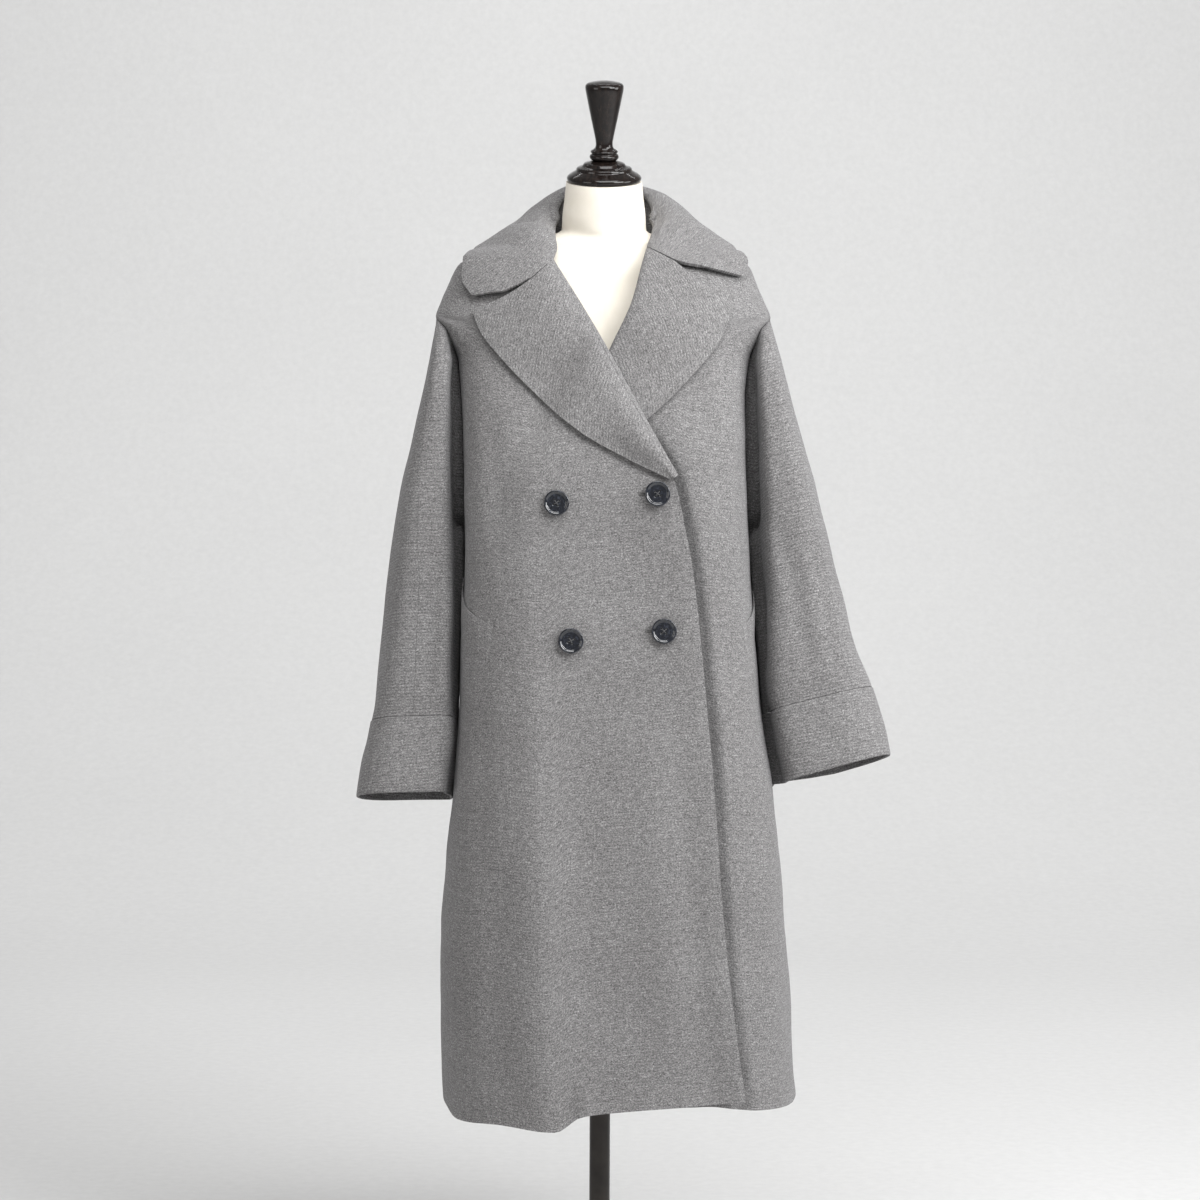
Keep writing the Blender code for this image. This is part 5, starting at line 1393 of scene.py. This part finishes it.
def make_collar_stand():
    """The band inside that runs from the panels' top row up to the collar's roll."""
    rows = 151
    middle = collar_sheet(rows)
    way = collar_way(middle)
    shares = np.linspace(-1.0, 1.0, rows)
    keep = np.abs(shares) <= STAND_END
    top = (middle[:, 0] + way[:, 0] * (TURNED / 2 + 4 * SEAM))[keep]
    turn = shares[keep] / STAND_END * STAND_SWEEP
    level = NECK_LEVEL
    base = np.stack([half_width(1, level) * np.sin(turn), body["back"](level) * np.cos(turn),
                     np.full(len(turn), level + SEAM)], axis=1)
    grid = np.array([base + (top - base) * t for t in np.linspace(0.0, 1.0, 12)])
    out = grid_normals(grid, (0, 0, 1.43))
    out[..., 2] = 0.0
    piece = add_wall("collar_stand_cloth", grid, grid - unit(out) * CLOTH, WOOL["panel"], "")
    own(piece, "collar_stand")


make_collar()
make_collar_stand()

# %% [markdown]
# ## Pocket welts
#
# The pockets are slanted slits near the side folds, each finished with a welt, a narrow turned
# strip that lies on the front and runs round the fold. Only its top edge stands off a little, so
# the mouth of the pocket shows as a thin dark line.

# %% Make the welts
WELT_FRONT_X = {-1: 0.136, 1: 0.176}  # the pockets' front ends, from the pole
WELT_BACK_Y = {-1: -0.030, 1: 0.010}  # their back ends, past the side folds
WELT_FRONT_Z = 0.9131   # height of the top edge at its front end
WELT_BACK_Z = 0.9650    # and at its back end
WELT_DEPTH = 0.044      # from the top edge down
WELT_WALL = 0.0017      # its wall at the free top edge
WELT_THIN = 0.00015     # its sewn edges are pressed in, so they hardly show
WELT_GAP = 0.00015      # space between the welt and the cloth under it
WELT_STAND_OFF = 0.0012                   # how much more of it there is at the top edge


def grid_tree(grids):
    """The faces of some grids of points, in a tree that finds the nearest place on them."""
    vertices, faces = [], []
    for grid in grids:
        rows, columns = grid.shape[:2]
        first = len(vertices)
        vertices.extend(map(tuple, grid.reshape(-1, 3).tolist()))
        for r in range(rows - 1):
            for c in range(columns - 1):
                at = first + r * columns + c
                faces.append((at, at + 1, at + columns + 1, at + columns))
    return BVHTree.FromPolygons(vertices, faces)


def laid_on(tree, grid, way, gap):
    """Each point of a grid put at its gap over the nearest place of a surface."""
    laid = np.array(grid)
    for place in np.ndindex(grid.shape[:2]):
        nearest = tree.find_nearest(Vector(grid[place].tolist()))[0]
        laid[place] = np.array(nearest) + way[place] * gap[place]
    return laid


def make_welt(hand, count=56):
    """A welt: its track round the side fold, then laid on the cloth that is there."""
    front = section_path(-1, WELT_FRONT_Z, [None, None], [SEAM] * 2)
    back = section_path(1, WELT_FRONT_Z, [None, None], [SEAM] * 2)
    side_path = np.concatenate([front[front[:, 0] * hand > 0][::hand],
                                back[back[:, 0] * hand > 0][::-hand]])
    far = (side_path[:, 1] > 0) | (np.abs(side_path[:, 0]) >= WELT_FRONT_X[hand])
    side_path = side_path[far]
    track = spaced(side_path[side_path[:, 1] <= WELT_BACK_Y[hand]], count)
    level = WELT_FRONT_Z + (WELT_BACK_Z - WELT_FRONT_Z) * np.linspace(0, 1, count)
    reach = body["front"](WELT_FRONT_Z)
    rows = []
    for t in np.linspace(0.0, 1.0, 14):
        z = level - WELT_DEPTH * (1 - t)
        x = track[:, 0] * half_width(hand, z) / half_width(hand, WELT_FRONT_Z)
        y = track[:, 1] * body["front"](z) / reach
        rows.append(lifted_clear(np.stack([x, y, z], axis=1), SEAM))
    grid = np.array(rows)
    if hand < 0:
        grid[..., 1] -= fold_rise(RIGHT_FOLDS, grid[..., 0], grid[..., 2])
    way = grid_normals(grid, COAT_MIDDLE)
    up = np.linspace(0.0, 1.0, len(grid))[:, None]
    round_side = np.linspace(0.0, 1.0, count)[None, :]
    free = ease(up * 1.3) * ease(round_side * 4)
    cloth = grid_tree([walls[SIDE[hand]][0], walls["back"][0]])
    grid = laid_on(cloth, grid, way, WELT_GAP + WELT_STAND_OFF * up ** 2 * free)
    wall = WELT_THIN + (WELT_WALL - WELT_THIN) * free
    node = "pocket_welt_" + SIDE[hand]
    piece = add_wall(node + "_cloth", grid + way * wall[..., None], grid, WOOL["panel"], "")
    own(piece, node)


for hand in SIDE:
    make_welt(hand)

# %% [markdown]
# ## Buttons
#
# Four buttons of dark polished horn close the coat: a raised rim, a dished middle, four holes and
# crossed thread. A turned profile makes the disc, and a cut with four round pins makes the
# holes. The exact cut is worth its time here, because light falls right into the holes. Each
# button leans with the cloth it sits on, so its place and its axes are read from the front's face.

# %% Finish of the horn and of the threads
def horn_finish():
    """Polished dark horn with paler, drawn-out streaks."""
    made, tree, shader = new_finish("dark_horn", 0.16, Coat_Weight=0.6, Coat_Roughness=0.06,
                                    IOR=1.54)
    spot = add_node(tree, "TexCoord").outputs["Object"]
    streak = noise(tree, spot, 170.0, 3.0, Distortion=2.5)
    colour = ramp(tree, streak, [(0.38, (0.003, 0.004, 0.007)), (0.56, (0.009, 0.011, 0.017)),
                                 (0.74, (0.040, 0.046, 0.060))])
    complete(tree, shader, colour, rough=(streak, 0.08, 0.16))
    return made


def thread_finish(name, roughness, twist, dark, pale, relief):
    """Twisted thread with painted shade between its plies; twist is the scale, the unevenness and the
    way of its plies.
    """
    made, tree, shader = new_finish(name, roughness, Sheen_Weight=0.2)
    spot = add_node(tree, "TexCoord").outputs["Object"]
    scale, distortion, bands = twist
    ply = add_node(tree, "TexWave", {"Vector": spot, "Scale": scale, "Distortion": distortion},
                   bands_direction=bands).outputs[1]
    # The colour runs from dark in the grooves between the plies to pale on their crowns: painted
    # shade over the thread's own grey, on the same waves as the relief.
    complete(tree, shader, ramp(tree, ply, [(0.0, dark), (1.0, pale)]), (ply, *relief))
    return made


HORN = horn_finish()
# Each thread's dark and pale colours: its own grey, with painted shade in the grooves between its
# plies.
THREAD = thread_finish("button_thread", 0.8, (900.0, 1.0, "DIAGONAL"),
                       (0.020, 0.021, 0.024), (0.075, 0.076, 0.080), (0.5, 0.0003))
WOOL_THREAD = thread_finish("wool_thread", 0.85, (700.0, 0.6, "X"),
                            (0.055, 0.054, 0.053), (0.150, 0.147, 0.144), (0.6, 0.0004))


# %% Turned shapes with softened corners
def softened(profile, times=2):
    """A profile with its corners cut again and again, which rounds them; its ends stay."""
    points = np.array(profile, float)
    for _ in range(times):
        near = points[:-1] * 0.75 + points[1:] * 0.25
        far = points[:-1] * 0.25 + points[1:] * 0.75
        between = np.stack([near, far], axis=1).reshape(-1, 2)
        points = np.concatenate([points[:1], between[1:-1], points[-1:]])
    return points


def ring_faces(rings, count, closed=False):
    """The faces of a run of rings, joined on to its start or with both ends filled."""
    faces = []
    for r in range(rings if closed else rings - 1):
        here, there = r * count, (r + 1) % rings * count
        for k in range(count):
            beside = (k + 1) % count
            faces.append((here + k, here + beside, there + beside, there + k))
    if not closed:
        faces.append(tuple(range(count))[::-1])
        faces.append(tuple(range((rings - 1) * count, rings * count)))
    return faces


def add_turned(name, profile, finish, segments=96, place=None, smooth_angle=50):
    """A solid turned about its own axis from (radius, height) pairs, closed at both ends."""
    place = place or (lambda point: point)
    turns = np.linspace(0, 2 * pi, segments, endpoint=False)
    vertices = [place((radius * cos(turn), radius * sin(turn), height))
                for radius, height in profile for turn in turns]
    return add_piece(name, vertices, ring_faces(len(profile), segments), finish, smooth_angle)


def cut_away(piece, cutters):
    """Cuts other solids out of a piece, exactly, and removes them."""
    for cutter in cutters:
        cut = piece.modifiers.new("cut", "BOOLEAN")
        cut.operation = "DIFFERENCE"
        cut.solver = "EXACT"
        cut.object = cutter
    bpy.context.view_layer.update()
    seen = piece.evaluated_get(bpy.context.evaluated_depsgraph_get())
    made = bpy.data.meshes.new_from_object(seen)
    piece.modifiers.clear()
    piece.data = made
    for cutter in cutters:
        bpy.data.objects.remove(cutter, do_unlink=True)
    return piece


def add_tube(name, path, radius, finish, place, closed=False, sides=8, flat=1.0):
    """A thin tube along a path of points, for thread; flat presses it down."""
    points = np.array(path, float)
    along = np.gradient(points, axis=0)
    if closed:
        along = (np.roll(points, -1, axis=0) - np.roll(points, 1, axis=0)) / 2
    along = unit(along)
    side = unit(np.cross(along, (0, 0, 1)) + 1e-9)
    up = np.cross(side, along)
    turns = np.linspace(0, 2 * pi, sides, endpoint=False)
    vertices = [place(p + radius * (cos(t) * s + sin(t) * flat * u))
                for p, s, u in zip(points, side, up) for t in turns]
    return add_piece(name, vertices, ring_faces(len(points), sides, closed), finish, 60)


# %% Make the buttons, their thread and their buttonholes
BUTTON_RADIUS = 0.0158
BUTTON_THICKNESS = 0.0048
SHANK_LENGTH = 0.0022
ButtonRow = namedtuple("ButtonRow", "name place height")
BUTTONS = measures(ButtonRow,
    ("button_upper_right", -0.0566, 1.0650),
    ("button_upper_left", 0.0672, 1.0765),
    ("button_lower_right", -0.0385, 0.8960),
    ("button_lower_left", 0.0762, 0.9080),
)
HOLE_RADIUS = 0.00125
HOLE_SPREAD = 0.0026    # from the button's middle to each hole, on both axes
THREAD_RADIUS = 0.0006
THREAD_SINK = 0.0016    # the thread lies this far under the button's rim,
THREAD_HUMP = 0.0009    # rises this far over the button's middle,
THREAD_DIVE = 0.0012    # goes down this far into the holes
THREAD_CROSS = 0.0004   # and its second stitch lies this far over its first
BUTTONHOLE_HALF = 0.0185  # half its length
BUTTONHOLE_OPEN = 0.0013  # half its width
BUTTONHOLE_RIM = 0.0009                   # radius of its worked rim
BUTTONHOLE_SHIFT = 0.004  # its middle lies this far inward of the button


def face_place(x, z, skin, lift):
    """A place on the front: a function that puts a point there, leaning with the cloth."""
    step = 0.012
    slope_x = (skin(x + step, z) - skin(x - step, z)) / (2 * step)
    slope_z = (skin(x, z + step) - skin(x, z - step)) / (2 * step)
    out = unit(np.array([float(slope_x), -1.0, float(slope_z)]))
    side = unit(np.cross((0, 0, 1), out))
    upward = np.cross(out, side)
    foot = np.array([x, float(skin(x, z)), z]) + out * lift

    def place(point):
        return foot + side * point[0] + upward * point[1] + out * point[2]

    return place


def make_button(row, turn):
    """A button: its disc with four holes cut through, then two crossed stitches."""
    place = face_place(row.place, row.height, skins[-1], SEAM)
    r = BUTTON_RADIUS
    top = SHANK_LENGTH + BUTTON_THICKNESS
    profile = [
        (0.0028, 0.0), (0.0026, SHANK_LENGTH * 0.9), (r * 0.55, SHANK_LENGTH),
        (r * 0.80, SHANK_LENGTH + 0.0003), (r * 0.985, top - 0.0024), (r, top - 0.0013),
        (r * 0.975, top - 0.0004), (r * 0.93, top), (r * 0.86, top - 0.0001),
        (r * 0.80, top - 0.0007), (r * 0.74, top - 0.0016), (r * 0.66, top - 0.0019),
        (r * 0.45, top - 0.0017), (r * 0.10, top - 0.0018),
    ]
    disc = add_turned(row.name + "_horn", softened(profile), HORN, 72, place)
    spots = [(cos(turn + k * pi / 2), sin(turn + k * pi / 2)) for k in range(4)]
    spread = HOLE_SPREAD * 2 ** 0.5
    pins = []
    for x, y in spots:
        def pin_place(point, x=x, y=y):
            return place((point[0] + x * spread, point[1] + y * spread, point[2]))
        pin = [(HOLE_RADIUS, SHANK_LENGTH + 0.0011), (HOLE_RADIUS, top)]
        pins.append(add_turned("pin", pin, HORN, 20, pin_place))
    own(cut_away(disc, pins), row.name)
    for k in (0, 1):
        (ax, ay), (bx, by) = spots[k], spots[k + 2]
        path = []
        for share in np.linspace(-1, 1, 13):
            x = (ax * (1 - share) + bx * (1 + share)) / 2 * spread
            y = (ay * (1 - share) + by * (1 + share)) / 2 * spread
            hump = THREAD_HUMP * (1 - abs(share) ** 4) - THREAD_DIVE * abs(share) ** 6
            over = THREAD_CROSS * k * (1 - share ** 2)
            path.append((x, y, top - THREAD_SINK + hump + over))
        stitch = add_tube(f"{row.name}_thread_{k}", path, THREAD_RADIUS, THREAD, place)
        own(stitch, None)


def make_buttonhole(row):
    """A worked buttonhole: a narrow ring of close stitches, most of it under the button."""
    place = face_place(row.place - BUTTONHOLE_SHIFT, row.height, skins[-1], BUTTONHOLE_RIM * 0.5)
    turns = np.linspace(0, 2 * pi, 120, endpoint=False)
    across = BUTTONHOLE_HALF * squared(np.cos(turns), 0.5)
    up = BUTTONHOLE_OPEN * squared(np.sin(turns), 0.7)
    path = np.stack([across, up, np.zeros_like(turns)], axis=1)
    ring = add_tube(row.name.replace("button", "buttonhole"), path, BUTTONHOLE_RIM,
                    WOOL_THREAD, place, True, 8, 0.6)
    own(ring, None)


for row, turn in zip(BUTTONS, (0.6, 0.9, 0.5, 0.75)):
    make_button(row, turn)
    if row.place > 0:
        make_buttonhole(row)
print("buttons:", [row.name for row in BUTTONS])

# %% [markdown]
# ## The dress form
#
# The form is padded and covered with ivory linen: a plain torso on a general figure, with no
# limbs, that ends under the hips. It is lofted through level sections like the coat. The cover
# has a seam down the front, one down the back and one round the neck, where the cloth dips in
# and gathers a fine shadow. They are pressed into the surface, not only painted.

# %% Sections of the form
FormRow = namedtuple("FormRow", "height half front back square")
FORM = measures(FormRow,
    (0.735, 0.120, 0.078, 0.095, 2.1), (0.740, 0.140, 0.090, 0.108, 2.1),
    (0.750, 0.150, 0.096, 0.114, 2.1), (0.790, 0.164, 0.103, 0.124, 2.1),
    (0.850, 0.162, 0.102, 0.122, 2.1), (0.930, 0.138, 0.092, 0.100, 2.1),
    (1.000, 0.121, 0.086, 0.085, 2.1), (1.080, 0.132, 0.104, 0.088, 2.1),
    (1.150, 0.148, 0.122, 0.096, 2.1), (1.210, 0.152, 0.104, 0.104, 2.1),
    (1.270, 0.158, 0.082, 0.106, 2.2), (1.310, 0.163, 0.068, 0.094, 2.2),
    (1.335, 0.165, 0.059, 0.084, 2.2), (1.352, 0.162, 0.055, 0.076, 2.1),
    (1.362, 0.152, 0.052, 0.070, 2.0), (1.372, 0.134, 0.049, 0.065, 1.75),
    (1.380, 0.1175, 0.0480, 0.061, 1.55), (1.388, 0.0995, 0.0480, 0.057, 1.45),
    (1.396, 0.0762, 0.0480, 0.054, 1.36), (1.404, 0.0540, 0.0485, 0.052, 1.7),
    (1.425, 0.0525, 0.0485, 0.050, 2.0), (1.445, 0.0500, 0.0480, 0.048, 2.0),
    (1.466, 0.0480, 0.0465, 0.0465, 2.0),
)
NECK_BASE = 1.385       # the neck leans forward from here
NECK_TILT = radians(12)
NECK_TOP = 1.466
NECK_BEND = 0.55        # how much of the neck's lean shows on its axis
SEAM_DIP = 0.00015      # how deep the cover dips in along a seam
SEAM_HALF = 0.0011      # half the width of that dip
form = read(FORM)


def tilted(point):
    """The neck and all on it lean forward about the neck's base."""
    x, y, z = point
    lean = NECK_TILT * float(ease((z - NECK_BASE) / (NECK_TOP - NECK_BASE)))
    if z <= NECK_BASE:
        return (x, y, z)
    rise = z - NECK_BASE
    return (x, y * cos(lean) - rise * sin(lean) * NECK_BEND,
            NECK_BASE + rise * cos(lean * NECK_BEND) + y * sin(lean))


def on_neck(point):
    """A point given over the middle of the neck's top, square to it."""
    x, y, z = point
    base = tilted((0.0, 0.0, NECK_TOP))
    return (x, base[1] + y * cos(NECK_TILT) - z * sin(NECK_TILT),
            base[2] + y * sin(NECK_TILT) + z * cos(NECK_TILT))


# %% Linen
def linen_finish():
    """Ivory linen in plain weave, with slubs."""
    made, tree, shader = new_finish("ivory_linen_cover", 0.82, Sheen_Weight=0.12,
                                    Sheen_Roughness=0.5, IOR=1.4)
    spot = add_node(tree, "TexCoord").outputs["Object"]
    threads = {"Vector": spot, "Scale": 380.0, "Distortion": 0.9, "Detail": 2.0}
    warp, weft = [add_node(tree, "TexWave", threads, bands_direction=way).outputs[1] for way in "XZ"]
    slub = noise(tree, spot, 60.0, 3.0)
    weave = maths(tree, "MULTIPLY", warp, weft)
    colour = ramp(tree, weave, [(0.0, (0.775, 0.725, 0.635)), (1.0, (0.865, 0.825, 0.745))])
    tint = ramp(tree, slub, [(0.3, (0.97, 0.965, 0.95)), (0.7, (1.0, 1.0, 1.0))])
    raised = maths(tree, "ADD", weave, maths(tree, "MULTIPLY", slub, 0.6))
    complete(tree, shader, blend(tree, 1.0, colour, tint, "MULTIPLY"), (raised, 0.28, 0.0004))
    return made


# %% Make the form
def form_turns():
    """Angles round the form: even, with a few more close to the front and back seams."""
    turns = np.linspace(0, 2 * pi, 144, endpoint=False).tolist()
    for seam in (0.0, pi):
        turns += [seam + step for step in (-0.024, -0.014, -0.007, 0.007, 0.014, 0.024)]
    return sorted(turn % (2 * pi) for turn in turns)


def make_form():
    """The covered form, lofted through its sections with its seams pressed in."""
    turns = form_turns()
    heights = np.unique(np.concatenate([
        np.linspace(FORM[0].height, FORM[3].height, 16), np.linspace(0.79, 1.34, 64),
        np.linspace(1.34, NECK_TOP, 46), NECK_BASE + np.array([-0.0016, -0.0008, 0, 0.0008, 0.0016]),
    ]))
    vertices = []
    for z in heights:
        row = read_at(form, z)
        power = 2.0 / row["square"]
        for turn in turns:
            x = row["half"] * squared(sin(turn), power)
            reach = row["front"] if cos(turn) > 0 else row["back"]
            y = -reach * squared(cos(turn), power)
            dip = SEAM_DIP * np.exp(-((z - NECK_BASE) / SEAM_HALF) ** 2)
            dip += SEAM_DIP * np.exp(-(x / SEAM_HALF) ** 2)
            y *= 1 - min(dip, SEAM_DIP) / reach
            x *= 1 - SEAM_DIP * np.exp(-((z - NECK_BASE) / SEAM_HALF) ** 2) / row["half"]
            vertices.append(tilted((x, y, z)))
    faces = ring_faces(len(heights), len(turns))
    piece = add_piece("form_cover", vertices, faces, linen_finish(), 60)
    own(piece, "form_torso")
    print("form:", len(heights), "sections of", len(turns), "points")


make_form()

# %% [markdown]
# ## Cap, finial and stand
#
# The neck is closed by a turned cap with a turned finial on it, both lacquered nearly black. The
# pole is a satin dark tube in a socket on a flat, heavy base, which the photograph does not show.
# All are turned shapes. Their corners are softened by cutting them again and again, so that each
# edge catches a thin line of light.

# %% Lacquered wood and dark metal
def lacquer_finish():
    """Nearly black lacquer with the wood's grain faint under it."""
    made, tree, shader = new_finish("black_lacquered_wood", 0.2, Coat_Weight=0.15,
                                    Coat_Roughness=0.05, IOR=1.36)
    spot = add_node(tree, "TexCoord").outputs["Object"]
    long = add_node(tree, "Mapping", {"Vector": spot, "Scale": (1.0, 1.0, 0.12)}).outputs[0]
    grain = noise(tree, long, 260.0, 5.0, Distortion=0.8)
    colour = ramp(tree, grain, [(0.35, (0.004, 0.003, 0.003)), (0.70, (0.016, 0.011, 0.009))])
    complete(tree, shader, colour, (grain, 0.10, 0.0003), (grain, 0.07, 0.16))
    return made


def metal_finish(name, colour_low, colour_high, roughness, metallic, grain_size):
    """Dark metal that is a little duller where it is worn."""
    made, tree, shader = new_finish(name, roughness, Metallic=metallic)
    spot = add_node(tree, "TexCoord").outputs["Object"]
    grain = noise(tree, spot, grain_size, 5.0)
    wear = noise(tree, spot, 22.0, 3.0)
    colour = ramp(tree, wear, [(0.35, colour_low), (0.70, colour_high)])
    spread = (wear, roughness - 0.07, roughness + 0.10)
    complete(tree, shader, colour, (grain, 0.15, 0.0003), spread)
    return made


LACQUER = lacquer_finish()
TUBE = metal_finish("satin_dark_tube", (0.020, 0.018, 0.017), (0.045, 0.040, 0.036), 0.34, 0.7, 900)
CAST = metal_finish("dark_cast_base", (0.020, 0.019, 0.018), (0.040, 0.037, 0.035), 0.46, 0.5, 420)


# %% Make the cap and the finial
def make_cap_and_finial():
    """Two turned pieces from (radius, height) pairs, set square on the leaning neck."""
    cap = [
        (0.0445, 0.0004), (0.0462, 0.0012), (0.0472, 0.0036), (0.0473, 0.0056), (0.0460, 0.0078),
        (0.0432, 0.0100), (0.0400, 0.0118), (0.0372, 0.0134), (0.0356, 0.0142), (0.0352, 0.0168),
        (0.0340, 0.0184), (0.0300, 0.0194), (0.0276, 0.0204), (0.0266, 0.0222), (0.0250, 0.0240),
        (0.0205, 0.0252), (0.0172, 0.0264), (0.0150, 0.0270),
    ]
    own(add_turned("neck_cap_wood", softened(cap), LACQUER, 112, on_neck), "neck_cap")
    seat = 0.0274       # height of the finial's foot over the neck's top
    finial = [
        (0.0150, 0.0), (0.0176, 0.0016), (0.0187, 0.0044), (0.0180, 0.0066), (0.0158, 0.0082),
        (0.0164, 0.0092), (0.0174, 0.0106), (0.0168, 0.0122), (0.0134, 0.0140), (0.0114, 0.0158),
        (0.0105, 0.0200), (0.0110, 0.0250), (0.0126, 0.0330), (0.0150, 0.0440), (0.0178, 0.0570),
        (0.0204, 0.0700), (0.0226, 0.0810), (0.0240, 0.0880), (0.0244, 0.0910), (0.0242, 0.0936),
        (0.0230, 0.0958), (0.0200, 0.0974), (0.0140, 0.0986), (0.0060, 0.0997),
    ]
    profile = softened([(radius, seat + height) for radius, height in finial])
    own(add_turned("finial_wood", profile, LACQUER, 96, on_neck), "finial")


make_cap_and_finial()

# %% Make the stand
POLE_RADIUS = 0.01325
BASE_RADIUS = 0.190
BASE_THICKNESS = 0.014
SOCKET_RADIUS = 0.030
SOCKET_HEIGHT = 0.052
JOIN = 0.0003           # space between two pieces of the stand that are screwed together


def make_stand():
    """The base, the socket on it and the pole up to the form's underside."""
    top = BASE_THICKNESS
    base = [
        (BASE_RADIUS - 0.0030, 0.0), (BASE_RADIUS - 0.0006, 0.0010), (BASE_RADIUS, 0.0034),
        (BASE_RADIUS, top - 0.0050), (BASE_RADIUS - 0.0012, top - 0.0022),
        (BASE_RADIUS - 0.0050, top - 0.0006), (BASE_RADIUS - 0.0120, top),
        (BASE_RADIUS * 0.50, top),
    ]
    own(add_turned("base_plate", softened(base), CAST, 160), "base")
    foot = top + JOIN
    r = SOCKET_RADIUS
    socket = [
        (r + 0.0074, foot), (r + 0.0080, foot + 0.0008), (r + 0.0080, foot + 0.0036),
        (r + 0.0066, foot + 0.0050), (r + 0.0020, foot + 0.0062), (r - 0.0010, foot + 0.0110),
        (r - 0.0040, foot + 0.0240), (r - 0.0078, foot + 0.0440), (r - 0.0080, foot + 0.0490),
        (r - 0.0092, foot + SOCKET_HEIGHT),
    ]
    own(add_turned("pole_socket_metal", softened(socket), TUBE, 96), "pole_socket")
    start = foot + SOCKET_HEIGHT + JOIN
    end = FORM[0].height - JOIN
    tube = [(POLE_RADIUS, start + (end - start) * share) for share in np.linspace(0, 1, 9)]
    own(add_turned("pole_tube", tube, TUBE, 72), "pole")


make_stand()

# %% [markdown]
# ## Floor, light and camera
#
# A studio sweep does for the floor and the backdrop: one pale sheet that runs back and curves up,
# so no edge shows behind the coat. A broad soft lamp from above, in front and to the right of the
# picture gives the coat its gentle modelling. A second one on that side brightens the sleeve, a
# weaker one fills the left, one overhead lights the collar, and one behind evens out the sweep.
# The camera looks four degrees down through a long lens, as in the photograph.

# %% The sweep
def plaster_finish():
    """The sweep's pale, slightly uneven matt paint."""
    made, tree, shader = new_finish("pale_sweep", 0.9)
    spot = add_node(tree, "TexCoord").outputs["Object"]
    slub = noise(tree, spot, 60.0, 6.0, Roughness=0.6)
    cloud = noise(tree, spot, 1.2, 2.0)
    colour = ramp(tree, slub, [(0.30, (0.640, 0.640, 0.638)), (0.70, (0.685, 0.685, 0.683))])
    tint = ramp(tree, cloud, [(0.3, (0.975, 0.975, 0.975)), (0.7, (1.0, 1.0, 1.0))])
    complete(tree, shader, blend(tree, 1.0, colour, tint, "MULTIPLY"))
    return made


SWEEP_HALF = 9.0        # half its width, and how far it runs to the front
SWEEP_START = 2.6       # how far behind the coat it starts to curve up
SWEEP_RADIUS = 3.0
SWEEP_HEIGHT = 7.0


def make_sweep():
    """The sheet of the sweep: flat, then a quarter of a circle, then upright."""
    path = [(-SWEEP_HALF, 0.0), (SWEEP_START, 0.0)]
    for turn in np.linspace(0, pi / 2, 28)[1:]:
        path.append((SWEEP_START + SWEEP_RADIUS * sin(turn), SWEEP_RADIUS * (1 - cos(turn))))
    path.append((SWEEP_START + SWEEP_RADIUS, SWEEP_HEIGHT))
    vertices = [(x, y, z) for y, z in path for x in (-SWEEP_HALF, SWEEP_HALF)]
    faces = [(2 * k, 2 * k + 1, 2 * k + 3, 2 * k + 2) for k in range(len(path) - 1)]
    sweep = add_piece("studio_sweep", vertices, faces, plaster_finish())


make_sweep()


# %% Lamps and surroundings
LampRow = namedtuple("LampRow", "name place target size power colour")
WHITE = (1.0, 1.0, 1.0)
LAMPS = measures(LampRow,
    ("key_lamp", (2.5, -2.4, 2.9), (0.0, 0.0, 1.25), (1.9, 1.9), 135.0, WHITE),
    ("side_lamp", (3.4, -0.9, 1.9), (0.2, 0.0, 1.1), (1.4, 1.8), 58.0, WHITE),
    ("fill_lamp", (-3.1, -2.4, 1.8), (0.0, 0.0, 0.95), (1.8, 2.2), 33.0, (1.0, 0.98, 0.96)),
    ("top_lamp", (0.3, -1.4, 3.3), (0.0, 0.0, 1.2), (2.0, 1.4), 62.0, WHITE),
    ("back_lamp", (0.0, 2.2, 4.2), (0.0, 5.0, 1.4), (5.0, 0.6), 90.0, WHITE),
)


def add_lamp(row):
    """A flat, soft lamp that faces its target."""
    lamp = bpy.data.lights.new(row.name, "AREA")
    lamp.shape = "RECTANGLE"
    lamp.size, lamp.size_y = row.size
    lamp.energy = row.power
    lamp.color = row.colour
    thing = bpy.data.objects.new(row.name, lamp)
    thing.location = row.place
    thing.rotation_mode = "QUATERNION"
    thing.rotation_quaternion = (Vector(row.target) - Vector(row.place)).to_track_quat("-Z", "Y")
    bpy.context.scene.collection.objects.link(thing)


for row in LAMPS:
    add_lamp(row)

world = bpy.data.worlds.new("studio")
world.use_nodes = True
sky = world.node_tree.nodes["Background"].inputs
sky["Color"].default_value = (1.0, 0.998, 0.995, 1.0)
sky["Strength"].default_value = 0.30
bpy.context.scene.world = world
bpy.context.scene.view_settings.view_transform = "Standard"

# %% The camera
CAMERA_AIM = Vector((0.0, 0.0, 0.934))  # on the pole's axis
CAMERA_DISTANCE = 4.3
CAMERA_RISE = radians(4.0)  # how steeply it looks down
CAMERA_ROLL = radians(0.26)  # the photograph leans by this much
CAMERA_LENS = 100.8
CAMERA_SHIFT = -2.2 / 1200  # sideways, as a share of the picture's width


def add_camera():
    """The camera at the photograph's angle, with the pole in the middle."""
    lens = bpy.data.cameras.new("camera")
    lens.lens = CAMERA_LENS
    lens.sensor_width = 36.0
    lens.shift_x = CAMERA_SHIFT
    lens.clip_end = 60.0
    thing = bpy.data.objects.new("camera", lens)
    back = Vector((0.0, -cos(CAMERA_RISE), sin(CAMERA_RISE)))
    thing.location = CAMERA_AIM + back * CAMERA_DISTANCE
    thing.rotation_mode = "QUATERNION"
    level = (-back).to_track_quat("-Z", "Y")
    thing.rotation_quaternion = level @ Quaternion((0, 0, 1), CAMERA_ROLL)
    bpy.context.scene.collection.objects.link(thing)
    bpy.context.scene.camera = thing


add_camera()

# %% [markdown]
# ## Finish

# The finished model may stand only a little proud of the imported one.

# %% Update the scene
bpy.context.view_layer.update()
